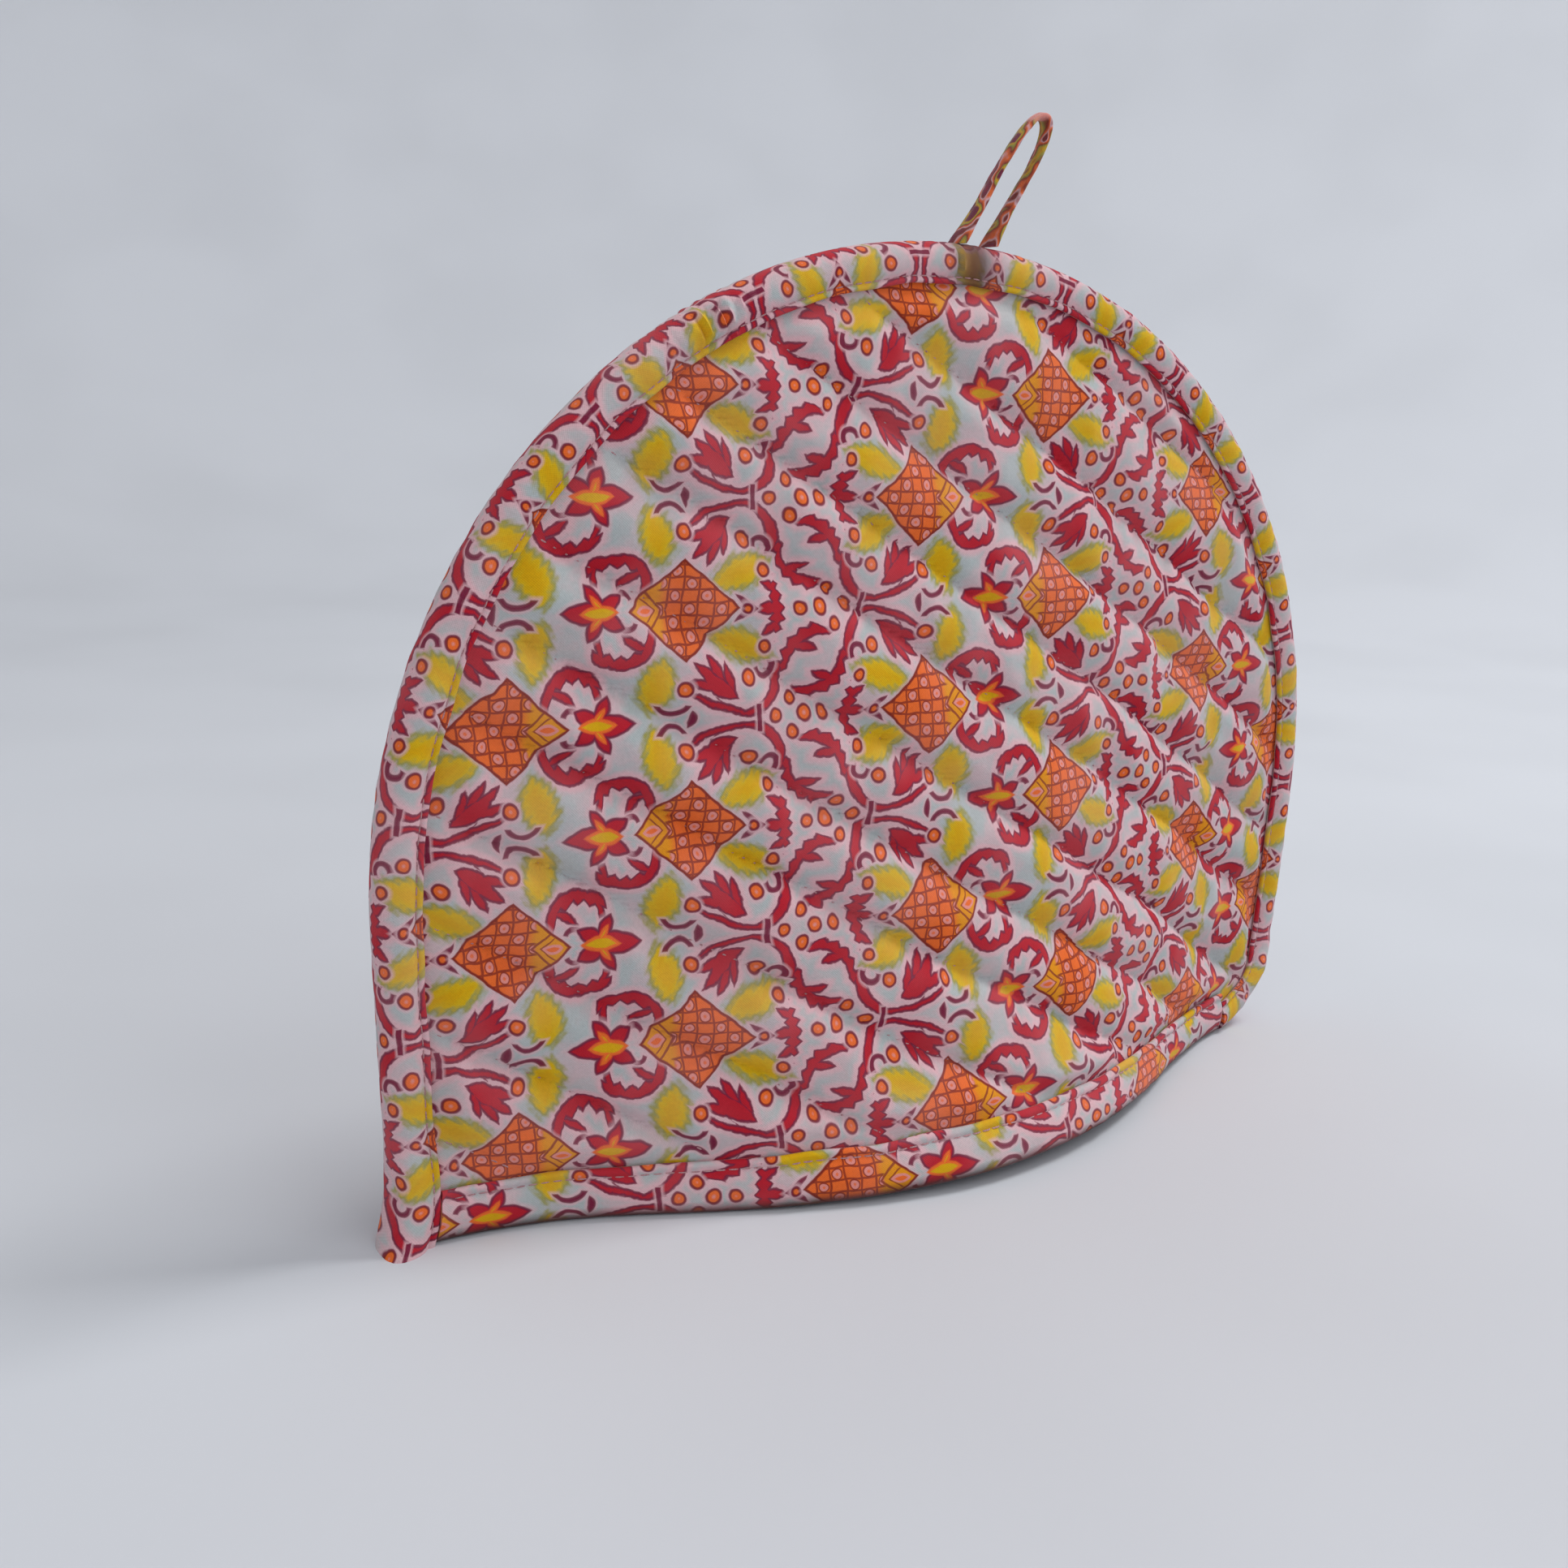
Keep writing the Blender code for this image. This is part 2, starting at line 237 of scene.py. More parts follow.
@dataclass(frozen=True)
class Quilting:
    """The stitched channels of a panel and the relief that they give the cloth.

    Args:
        lines: Heights at which the stitched lines cross the middle line.
        angle: Fall of the channels to the right.
        flat_thickness: Thickness where the wadding is pressed flat.
        puff: How far the middle of a channel swells.
        groove: How far the stitching sinks.
        groove_reach: How far to each side it sinks.
        pucker: Height of the gathers along the stitching.
        pucker_reach: Where beside the stitching they are highest.
        crease: Height of the looser creases.
        crease_reach: How far from the stitching those are whole.
        wander: How far the sewing strays off the straight.
        lining_dent: How far the lining sinks at the stitching.
        rim: Width pressed flat at the sides and the arch.
        hem_rim: Width pressed flat at the hem.
        rise: Width over which the wadding rises from the flat.
        seed: Which unevenness this panel has.
    """

    lines: tuple[float, ...] = (
        *(-0.0600, -0.0330, -0.0060, 0.0216, 0.0494, 0.0735, 0.0994),
        *(0.1292, 0.1532, 0.1810, 0.2070, 0.2397, 0.2670, 0.2945),
    )
    angle: float = math.radians(30)
    flat_thickness: float = 0.0030
    puff: float = 0.0038
    groove: float = 0.0006
    groove_reach: float = 0.0011
    pucker: float = 0.0013
    pucker_reach: float = 0.0034
    crease: float = 0.0013
    crease_reach: float = 0.006
    wander: float = 0.0013
    lining_dent: float = 0.0008
    rim: float = 0.0102
    hem_rim: float = 0.0127
    rise: float = 0.0085
    seed: float = 0.0

    def across(self, along: float, height: float) -> float:
        """Distance of a point across the channels."""
        return height * math.cos(self.angle) + along * math.sin(self.angle)

    def run(self, along: float, height: float) -> float:
        """Distance of a point down the channels."""
        return along * math.cos(self.angle) - height * math.sin(self.angle)

    def drift(self, run: float, across: float) -> float:
        """How far the sewing wanders off the straight."""
        return self.wander * ripple(run / 0.032, across / 0.2, self.seed)

    def spot(self, run: float, line: float) -> Point2:
        """The place on the cloth at a run down a stitched line."""
        level, fall = math.cos(self.angle), math.sin(self.angle)
        across = line * level - self.drift(run, line * level)
        return run * level + across * fall, across * level - run * fall

    def channel(self, along: float, height: float) -> tuple[float, float]:
        """Finds a point's place in its channel.

        Args:
            along: Distance along the cloth.
            height: Height above the hem.

        Returns:
            The share of the channel's width, and the distance to the nearest stitching.
        """
        across = self.across(along, height)
        across += self.drift(self.run(along, height), across)
        level = math.cos(self.angle)
        for low, high in zip(self.lines, self.lines[1:]):
            if low * level <= across <= high * level:
                from_low = across - low * level
                width = (high - low) * level
                return from_low / width, min(from_low, width - from_low)
        return 0.0, 0.0

    def mask(self, form: CosyForm, along: float, height: float) -> float:
        """Tells how far the wadding has risen from under the bindings.

        Args:
            form: The cut of the panel.
            along: Distance along the cloth.
            height: Height above the hem.

        Returns:
            0 where it is pressed flat, and 1 further in.
        """
        from_edge = form.edge_distance(along, height)
        side = soft_step(from_edge, self.rim, self.rim + self.rise)
        return side * soft_step(height, self.hem_rim, self.hem_rim + self.rise)

    def outer(self, form: CosyForm, along: float, height: float) -> float:
        """Gives the height of the printed face over the lining face's plane.

        Args:
            form: The cut of the panel.
            along: Distance along the cloth.
            height: Height above the hem.

        Returns:
            The distance outward.
        """
        mask = self.mask(form, along, height)
        if mask <= 0.0:
            return self.flat_thickness
        ratio, off = self.channel(along, height)
        run, across = self.run(along, height), self.across(along, height)
        crown = 1 - abs(2 * ratio - 1) ** 2.5
        plump = 1 + 0.26 * ripple(run / 0.026, across / 0.030, self.seed + 3.1)
        out = self.puff * crown * plump - self.groove * hump(off, self.groove_reach)
        near = off / self.pucker_reach * math.exp(1 - off / self.pucker_reach)
        gather = ripple(run / 0.0056 + 4 * across, across / 0.016, self.seed + 7.7)
        out += self.pucker * near * gather
        slack = ripple(run / 0.016, across / 0.011, self.seed + 11.3)
        fold = 1 - 2 * abs(ripple(run / 0.021 + across / 0.030, across / 0.026, self.seed + 17.9))
        loose = min(off / self.crease_reach, 1.0)
        out += self.crease * loose * (0.8 * slack + 0.55 * (fold - 0.45))
        return self.flat_thickness + out * mask

    def inner(self, form: CosyForm, along: float, height: float) -> float:
        """Gives the height of the lining over its plane, least in the middle of a channel.

        Args:
            form: The cut of the panel.
            along: Distance along the cloth.
            height: Height above the hem.

        Returns:
            The distance outward.
        """
        ratio, off = self.channel(along, height)
        dent = self.lining_dent * abs(2 * ratio - 1) ** 2.4
        wave = 0.0002 * ripple(self.run(along, height) / 0.007, off / 0.01, self.seed + 23.0)
        return (dent + wave) * self.mask(form, along, height)


class Cutting:
    """Cloth cut and joined with Blender's own tools, ready to be moved into shape."""

    @staticmethod
    def alone(made: Piece) -> None:
        """Selects one piece and nothing else."""
        if bpy.context.object and bpy.context.object.mode != "OBJECT":
            bpy.ops.object.mode_set(mode="OBJECT")
        bpy.ops.object.select_all(action="DESELECT")
        made.select_set(True)
        bpy.context.view_layer.objects.active = made

    @staticmethod
    @contextmanager
    def editing(made: Piece) -> Iterator[None]:
        """Opens one piece in edit mode with all of it selected, and closes it again."""
        Cutting.alone(made)
        bpy.ops.object.mode_set(mode="EDIT")
        bpy.ops.mesh.select_all(action="SELECT")
        yield
        bpy.ops.object.mode_set(mode="OBJECT")

    @staticmethod
    def grid(name: str, columns: int, rows: int, width: float = 1.0, depth: float = 1.0) -> Piece:
        """Lays out a rectangle of cloth in the XY plane, centred on the origin.

        Args:
            name: The piece's name.
            columns: Cells along X.
            rows: Cells along Y.
            width: Size along X.
            depth: Size along Y.

        Returns:
            The new piece.
        """
        bpy.ops.object.select_all(action="DESELECT")
        bpy.ops.mesh.primitive_grid_add(
            x_subdivisions=columns, y_subdivisions=rows, size=1.0, location=(0, 0, 0)
        )
        made = bpy.context.object
        made.name = made.data.name = name
        with Cutting.editing(made):
            bpy.ops.transform.resize(value=(width, depth, 1.0))
        return made

    @staticmethod
    def trim(made: Piece, cuts: Sequence[tuple[Point2, Point2]]) -> None:
        """Cuts away what lies beyond each line.

        Args:
            made: The flat cloth.
            cuts: A point of each line and the way out from it.
        """
        with Cutting.editing(made):
            for point, way in cuts:
                bpy.ops.mesh.select_all(action="SELECT")
                bpy.ops.mesh.bisect(
                    plane_co=(*point, 0.0), plane_no=(*way, 0.0), clear_outer=True, threshold=1e-5
                )

    @staticmethod
    def finish(made: Piece, places: Sequence[Sequence[float]], angle: float) -> None:
        """Closes a shaped piece and keeps each point's place on the flat cloth.

        Its long edges are joined, its ends filled and its faces turned out.

        Args:
            made: The piece.
            places: Along, up and how much painted shade it has, for each point.
            angle: The angle in degrees under which its faces are shaded smooth.
        """
        noted = made.data.attributes.new("cloth", "FLOAT_VECTOR", "POINT")
        noted.data.foreach_set("vector", [number for place in places for number in place])
        with Cutting.editing(made):
            bpy.ops.mesh.remove_doubles(threshold=1e-6)
            bpy.ops.mesh.fill_holes(sides=0)
            bpy.ops.mesh.select_all(action="SELECT")
            bpy.ops.mesh.normals_make_consistent(inside=False)
        Cutting.smooth(made, angle)

    @staticmethod
    def smooth(made: Piece, angle: float) -> None:
        """Shades a piece smooth where its faces meet at less than an angle in degrees."""
        Cutting.alone(made)
        bpy.ops.object.shade_smooth_by_angle(angle=math.radians(angle))

    @staticmethod
    def dress(made: Piece, node: str, slot: str, *finishes: Finish) -> None:
        """Gives a piece its finishes and hides the solid that it replaces.

        Args:
            made: The piece.
            node: The solid that it replaces.
            slot: Its material slot; not used.
            finishes: Its finishes, in the order of its mesh's slots.
        """
        made.data.materials.clear()
        for finish in finishes:
            made.data.materials.append(finish)
        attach(made, "root")
        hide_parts(node)


def operator(operation: str, turned: bool = False) -> Callable[["Field", "Field | float"], "Field"]:
    """Makes one operator of Field.

    Args:
        operation: What its Math node works out.
        turned: Whether the other value comes first.

    Returns:
        The operator.
    """

    def work_out(this: "Field", other: "Field | float") -> "Field":
        """Adds the Math node and gives its result."""
        values = (other, this) if turned else (this, other)
        return this.board.maths(operation, *values)

    return work_out


@dataclass(frozen=True)
class Field:
    """A number that varies over a surface, so that sums of it add Math nodes.

    Args:
        board: The finish that it belongs to.
        socket: The socket that gives it.
    """

    board: "PaintBoard"
    socket: Socket

    __add__ = operator("ADD")
    __radd__ = operator("ADD", turned=True)
    __sub__ = operator("SUBTRACT")
    __rsub__ = operator("SUBTRACT", turned=True)
    __mul__ = operator("MULTIPLY")
    __rmul__ = operator("MULTIPLY", turned=True)
    __truediv__ = operator("DIVIDE")

    def __neg__(self) -> "Field":
        """The same number with its sign turned."""
        return self * -1.0

    def __abs__(self) -> "Field":
        """Size without sign."""
        return self.board.maths("ABSOLUTE", self)

    def low(self, *others: "Field | float") -> "Field":
        """The smallest of several, which joins shapes."""
        return reduce(operator("MINIMUM"), others, self)

    def high(self, *others: "Field | float") -> "Field":
        """The largest of several, which keeps what shapes share."""
        return reduce(operator("MAXIMUM"), others, self)

    def there_and_back(self, reach: float) -> "Field":
        """Rises from 0 to reach and falls back, over and over."""
        return self.board.maths("PINGPONG", self, reach)

    def ease(self, low: float, high: float) -> "Field":
        """0 below low and 1 above high with a soft change, or the reverse if low > high."""
        ends = {"To Min": float(low > high), "To Max": float(low < high)}
        edges = {"From Min": min(low, high), "From Max": max(low, high)}
        settings = {"interpolation_type": "SMOOTHSTEP"}
        node = self.board.node("ShaderNodeMapRange", settings, {"Value": self, **edges, **ends})
        return Field(self.board, node.outputs["Result"])


class PaintBoard:
    """The nodes of one finish.

    Args:
        name: The finish's name.
    """

    def __init__(self, name: str) -> None:
        """Starts a finish with its shader and nothing else."""
        self.material = bpy.data.materials.new(name)
        self.material.use_nodes = True
        self.tree = self.material.node_tree
        self.shader = self.tree.nodes["Principled BSDF"]

    def node(
        self, kind: str, settings: dict[str, object], sockets: dict[str | int, object]
    ) -> bpy.types.Node:
        """Adds one node.

        Args:
            kind: The node's type.
            settings: What is set on the node itself.
            sockets: What each input takes: a Field, a socket, or a constant.

        Returns:
            The new node.
        """
        made = self.tree.nodes.new(kind)
        for name, value in settings.items():
            setattr(made, name, value)
        self.feed(made, sockets)
        return made

    def feed(self, node: bpy.types.Node, sockets: dict[str | int, object]) -> None:
        """Links Fields and sockets to a node's inputs, and sets constants on them."""
        for name, value in sockets.items():
            socket = node.inputs[name]
            if isinstance(value, Field):
                self.tree.links.new(value.socket, socket)
            elif isinstance(value, Socket):
                self.tree.links.new(value, socket)
            elif isinstance(value, tuple) and socket.type == "RGBA":
                socket.default_value = (*value[:3], 1.0)
            else:
                socket.default_value = value

    def maths(self, operation: str, *values: "Field | float") -> Field:
        """One Math node.

        Args:
            operation: What it works out.
            values: Its inputs, in order.

        Returns:
            Its result.
        """
        made = self.node("ShaderNodeMath", {"operation": operation}, dict(enumerate(values)))
        return Field(self, made.outputs[0])

    def vector(self, operation: str, *values: object) -> bpy.types.Node:
        """One Vector Math node, whose inputs are vectors."""
        return self.node("ShaderNodeVectorMath", {"operation": operation}, dict(enumerate(values)))

    def scaled(self, vector: Socket, scale: float) -> Socket:
        """A vector made longer or shorter."""
        settings = {"operation": "SCALE"}
        return self.node("ShaderNodeVectorMath", settings, {0: vector, "Scale": scale}).outputs[0]

    def join(self, x: Field, y: Field) -> Socket:
        """A vector of two fields and no third."""
        return self.node("ShaderNodeCombineXYZ", {}, {"X": x, "Y": y}).outputs[0]

    def split(self, vector: Socket) -> tuple[Field, Field, Field]:
        """The three parts of a vector."""
        parts = self.node("ShaderNodeSeparateXYZ", {}, {0: vector}).outputs
        return Field(self, parts[0]), Field(self, parts[1]), Field(self, parts[2])

    def mix(
        self, factor: Field | float, first: object, second: object, blend: str = "MIX"
    ) -> Socket:
        """Mixes two colours.

        Args:
            factor: 0 for the first and 1 for the second.
            first: A colour or its socket.
            second: A colour or its socket.
            blend: How they mix.

        Returns:
            The mixed colour.
        """
        settings = {"data_type": "RGBA", "blend_type": blend}
        return self.node("ShaderNodeMix", settings, {0: factor, 6: first, 7: second}).outputs[2]

    def ramp(self, value: Field, stops: Stops, under: object = None) -> Socket:
        """Colours a distance.

        Args:
            value: The distance.
            stops: Distance, colour and cover of each stop.
            under: The colour that lies under it, if any.

        Returns:
            The colour.
        """
        low, high = stops[0][0], stops[-1][0]
        place = self.maths("MULTIPLY_ADD", value, 1 / (high - low), -low / (high - low))
        made = self.node("ShaderNodeValToRGB", {}, {0: place})
        scale = made.color_ramp.elements
        while len(scale) < len(stops):
            scale.new(0.5)
        for element, (distance, colour, cover) in zip(scale, stops):
            element.position = (distance - low) / (high - low)
            element.color = (*colour, cover)
        if under is None:
            return made.outputs["Color"]
        return self.mix(Field(self, made.outputs["Alpha"]), under, made.outputs["Color"])

    def noise(self, at: Socket, scale: float, detail: float = 2.0) -> bpy.types.Node:
        """Smooth noise over a vector, scale times per unit."""
        settings = {"noise_dimensions": "3D"}
        sockets = {"Vector": at, "Scale": scale, "Detail": detail}
        return self.node("ShaderNodeTexNoise", settings, sockets)

    def speckle(self, at: Socket, scale: float, detail: float = 2.0) -> Field:
        """One number of 0 to 1 from smooth noise."""
        return Field(self, self.noise(at, scale, detail).outputs[0])

    def cloth_place(self) -> Socket:
        """The place on the flat cloth, in millimetres."""
        noted = self.node("ShaderNodeAttribute", {"attribute_name": "cloth"}, {})
        return self.scaled(noted.outputs["Vector"], 1000.0)


def tint(red: int, green: int, blue: int) -> Colour:
    """Turns a screen colour of 0 to 255 into the linear one that a shader takes."""
    parts = []
    for value in (red / 255, green / 255, blue / 255):
        parts.append(value / 12.92 if value <= 0.04045 else ((value + 0.055) / 1.055) ** 2.4)
    return tuple(parts)


def darkened(colour: Colour, share: float) -> Colour:
    """A colour with only a share of its light."""
    return tuple(part * share for part in colour)


@dataclass(frozen=True)
class PrintColours:
    """The dyes of the printed cotton, and the dark brown of its painted shade."""

    ground: Colour = tint(186, 193, 193)
    blush: Colour = tint(232, 186, 192)
    red: Colour = tint(192, 28, 46)
    wine: Colour = tint(126, 30, 62)
    pink: Colour = tint(238, 150, 140)
    orange: Colour = tint(244, 112, 44)
    amber: Colour = tint(236, 152, 14)
    straw: Colour = tint(226, 174, 8)
    yellow: Colour = tint(224, 184, 22)
    olive: Colour = tint(160, 156, 66)
    brown: Colour = tint(140, 44, 30)
    # Painted shade: dark brown laid over the hem's lower fold and round the loop's foot.
    painted_shade_tint: Colour = tint(74, 32, 28)


@dataclass(frozen=True)
class CottonWeave:
    """Plain-woven cotton: its threads, its slubs, its roughness and its sheen.

    Args:
        pitch: Two threads' width, in millimetres.
        slubs: Slubs in a millimetre.
        slub_height: Height of a slub, where the weave's is a half.
        bump: Strength of the bump.
        depth: Its depth in metres.
        rough: Least roughness.
        rougher: How much slubs add to it.
        sheen: The soft light of its fibres.
        light: Lightness that the weave leaves the dye.
        mottle: How unevenly the slubs take the dye.
    """

    pitch: float = 0.62
    slubs: float = 1.3
    slub_height: float = 1.2
    bump: float = 0.5
    depth: float = 0.00010
    rough: float = 0.80
    rougher: float = 0.15
    sheen: float = 0.08
    light: float = 0.87
    mottle: float = 0.22

    def lay(self, board: PaintBoard, cloth: Socket) -> tuple[Field, Field]:
        """Gives a finish this weave's bump, roughness and sheen.

        Args:
            board: The finish.
            cloth: The place on the cloth.

        Returns:
            The ups and downs of the weave, and the slubs.
        """
        along, height, _ = board.split(cloth)
        turn = 2 * math.pi / self.pitch
        weave = board.maths("SINE", along * turn) * board.maths("SINE", height * turn)
        slub = board.speckle(cloth, self.slubs, 3.0)
        relief = weave * 0.5 + slub * self.slub_height
        sockets = {"Strength": self.bump, "Distance": self.depth, "Height": relief}
        bump = board.node("ShaderNodeBump", {}, sockets).outputs[0]
        rough = self.rough + slub * self.rougher
        board.feed(board.shader, {"Roughness": rough, "Normal": bump, "Sheen Weight": self.sheen})
        return weave, slub

    def dyed_with_weave_shade(self, weave: Field, slub: Field, colour: Socket) -> Socket:
        """A colour with painted shade between the weave's threads, and with the slubs' uneven dye.
        """
        board = weave.board
        # Painted shade: lighter where the threads cross high, darker between them; the slubs add
        # uneven dye.
        shade = board.maths("MULTIPLY_ADD", weave, 0.05, self.light) + (slub - 0.5) * self.mottle
        grey = board.node("ShaderNodeCombineColor", {}, {0: shade, 1: shade, 2: shade}).outputs[0]
        return board.mix(1.0, colour, grey, "MULTIPLY")


@dataclass(frozen=True)
class Motif:
    """Shapes of the print, each as a distance in millimetres that is negative inside.

    Args:
        board: The finish that draws them.
        at: The place in the repeat.
    """

    board: PaintBoard
    at: Socket

    def disc(self, centre: Point2, radius: float) -> Field:
        """A round spot."""
        away = self.board.vector("DISTANCE", self.at, (*centre, 0.0)).outputs["Value"]
        return Field(self.board, away) - radius

    def lens(self, start: Point2, end: Point2, half_width: float, lean: float = 0.0) -> Field:
        """A leaf with two pointed ends.

        Args:
            start: One tip.
            end: The other tip.
            half_width: Half its width.
            lean: How far it bulges more to the left of the way from start to end.

        Returns:
            Its distance.
        """
        length = math.hypot(end[0] - start[0], end[1] - start[1]) / 2
        middle = ((start[0] + end[0]) / 2, (start[1] + end[1]) / 2)
        left = (-(end[1] - start[1]) / length / 2, (end[0] - start[0]) / length / 2)
        sides = []
        for sign, width in ((1.0, half_width + lean), (-1.0, half_width - lean)):
            radius = (length**2 + width**2) / (2 * abs(width))
            shift = (width - math.copysign(radius, width)) * sign
            side = self.disc((middle[0] + left[0] * shift, middle[1] + left[1] * shift), radius)
            sides.append(side if width > 0 else -side)
        return sides[0].high(sides[1])

    def arc(
        self, centre: Point2, radius: float, half_width: float, way: Point2, start: float
    ) -> Field:
        """A line round part of a circle.

        Args:
            centre: Middle of the circle.
            radius: Its radius.
            half_width: Half the line's width.
            way: The way from the centre to the middle of the line.
            start: How far that way the line starts, in radii: 0 keeps half the circle.

        Returns:
            Its distance.
        """
        size = math.hypot(*way)
        shift = (way[0] / size * start * radius, way[1] / size * start * radius)
        line = abs(self.disc(centre, radius)) - half_width
        return line.high(-self.beyond((centre[0] + shift[0], centre[1] + shift[1]), way))

    def beyond(self, point: Point2, way: Point2) -> Field:
        """How far the place lies past a point in a way, negative before it."""
        size = math.hypot(*way)
        way = (way[0] / size, way[1] / size)
        past = self.board.vector("DOT_PRODUCT", self.at, (*way, 0.0)).outputs["Value"]
        return Field(self.board, past) - (point[0] * way[0] + point[1] * way[1])

    def teeth(self, way: Point2, pitch: float, depth: float) -> Field:
        """Ups and downs of a serrated edge, across a way."""
        along = self.beyond((0.0, 0.0), way)
        return (along.there_and_back(pitch / 2) - pitch / 4) * (2 * depth / pitch)


@dataclass(frozen=True)
class PrintedCotton:
    """Printed cotton: diamonds, star flowers, curled leaves and scrolls on a pale ground.

    The repeat is one strip between two axes. Each neighbour is its mirror image, half a
    repeat further up, and each strip is its own mirror image upwards.

    Args:
        name: The finish's name.
        strip: Width of a strip.
        rise: Height of a repeat.
        first_axis: Where the strip that starts at the scroll axis begins.
        top_row: Height of a row of diamonds.
        colours: The dyes, and the colour of the painted shade.
        weave: The cloth that takes them.
    """

    name: str
    strip: float = 57.0
    rise: float = 52.7
    first_axis: float = -163.0
    top_row: float = 229.3
    colours: PrintColours = PrintColours()
    weave: CottonWeave = CottonWeave()

    def make(self) -> Finish:
        """Builds the finish.

        Returns:
            The material.
        """
        board = PaintBoard(self.name)
        cloth = board.cloth_place()
        near, mirrored, crossed = self.fold(board, cloth)
        vines = (self.vine(near), self.vine(crossed), self.curl(near), self.curl(mirrored))
        red = self.scrolls(near).low(*vines) + (board.speckle(cloth, 0.8, 1.0) - 0.5) * 0.6
        colour = self.ground(cloth, red)
        colour = self.leaves(near, cloth, colour)
        colour = self.dye(red, colour)
        for draw in (self.lines, self.spots, self.diamond, self.star):
            colour = draw(near, colour)
        self.cloth(board, cloth, self.star(mirrored, colour))
        return board.material

    def fold(self, board: PaintBoard, cloth: Socket) -> tuple[Motif, Motif, Motif]:
        """Folds the whole cloth on to one quarter of the repeat.

        Args:
            board: The finish.
            cloth: The place on the cloth.

        Returns:
            The shapes seen from a strip, from its neighbour past the star axis, and from
            its neighbour past the scroll axis.
        """
        drift = board.noise(cloth, 0.16).outputs["Color"]
        off = board.vector("SUBTRACT", drift, (0.5, 0.5, 0.5)).outputs[0]
        moved = board.vector("ADD", cloth, board.scaled(off, 1.7)).outputs[0]
        along, height, _ = board.split(moved)
        strips = (along - self.first_axis) / self.strip
        odd = board.maths("FLOORED_MODULO", board.maths("FLOOR", strips), 2.0)
        x = strips.there_and_back(1.0) * self.strip
        rows = (self.top_row - height) / self.rise + odd * 0.5
        y = rows.there_and_back(0.5) * self.rise
        turned = self.rise / 2 - y
        folds = (board.join(x, y), board.join(2 * self.strip - x, turned), board.join(-x, turned))
        return tuple(Motif(board, at) for at in folds)

    def ground(self, cloth: Socket, red: Field) -> Socket:
        """The pale ground, with an uneven blush that is stronger round the red shapes."""
        patch = red.board.speckle(cloth, 0.09, 3.0).ease(0.42, 0.66)
        blush = (patch * 0.55).high(red.ease(3.2, 0.6))
        return red.board.mix(blush, self.colours.ground, self.colours.blush)

    def leaves(self, motif: Motif, cloth: Socket, under: Socket) -> Socket:
        """Draws the soft yellow leaves, upright by the star axis and slanting by the crown."""
        upright = motif.lens((40.2, 10.8), (43.2, 24.6), 4.3)
        slanting = motif.lens((10.8, 11.6), (27.4, 6.0), 3.7)
        ragged = (motif.board.speckle(cloth, 0.55, 2.0) - 0.5) * 2.4 - 0.5
        edge = upright.low(slanting) + ragged + motif.teeth((0.75, 0.66), 1.9, 0.8)
        colours = self.colours
        stops = (
            (-3.6, colours.straw, 1.0),
            (-1.8, colours.yellow, 1.0),
            (-0.5, colours.olive, 0.9),
            (0.4, colours.olive, 0.35),
            (1.5, colours.ground, 0.0),
        )
        return motif.board.ramp(edge, stops, under)

    def curl(self, motif: Motif) -> Field:
        """The barbed leaf that curls beside the star flower and reaches past the star axis."""
        hollow = motif.disc((51.0, 3.9), 6.9) + motif.teeth((1.0, -0.2), 3.1, 1.3)
        above = motif.beyond((50.3, 5.0), (-0.22, 1.0))
        body = motif.disc((50.3, 5.7), 7.7).high(-hollow, -above)
        barb = motif.lens((44.6, 8.8), (50.6, 5.4), 0.9, 0.5)
        tip = motif.lens((53.6, 12.4), (58.4, 8.6), 1.1, 0.4)
        return body.low(barb, tip)

    def vine(self, motif: Motif) -> Field:
        """The vine: round the neck, out to a barbed leaf, and past the scroll axis."""
        outside, inside = motif.disc((18.2, 15.7), 9.8), motif.disc((20.0, 15.4), 9.2)
        bend = outside.high(-inside).high(13.4 - motif.beyond((0.0, 0.0), (0.0, 1.0)))
        barbed = motif.disc((-0.9, 13.6), 9.2) + motif.teeth((0.64, 0.77), 3.3, 1.1)
        hollow = motif.disc((-2.7, 16.0), 9.7)
        leaf = barbed.high(-hollow, -motif.beyond((1.4, 10.6), (0.62, -0.78)))
        tip = motif.lens((6.0, 9.4), (-0.2, 10.2), 1.0, 0.5)
        stem = motif.lens((17.0, 25.2), (34.2, 19.0), 0.65, 1.2)
        return bend.low(leaf, tip, stem)

    def scrolls(self, motif: Motif) -> Field:
        """The crown with its points, and the flame leaf with its fingers."""
        crown = motif.lens((10.0, -6.2), (10.0, 6.2), 1.6) + motif.teeth((0.0, 1.0), 2.7, 1.3)
        flame = motif.lens((21.2, 21.4), (30.2, 14.4), 2.1, 0.5)
        slips = (
            ((9.4, 3.2), (13.6, 6.2), 0.9),
            ((9.8, 0.0), (14.8, 0.0), 1.0),
            ((25.4, 18.8), (33.0, 16.8), 1.1),
            ((25.8, 16.8), (32.0, 12.8), 1.1),
            ((24.4, 16.6), (28.4, 11.2), 1.0),
            ((22.0, 19.6), (24.0, 13.2), 0.9),
        )
        return crown.low(flame, *(motif.lens(*slip, 0.3) for slip in slips))

    def dye(self, edge: Field, under: Socket) -> Socket:
        """Colours shapes red with a wine-coloured rim."""
        colours = self.colours
        stops = (
            (-1.6, colours.red, 1.0),
            (-0.35, colours.red, 1.0),
            (0.0, colours.wine, 1.0),
            (0.34, colours.wine, 0.9),
            (0.60, colours.blush, 0.8),
            (1.00, colours.blush, 0.0),
        )
        return edge.board.ramp(edge, stops, under)

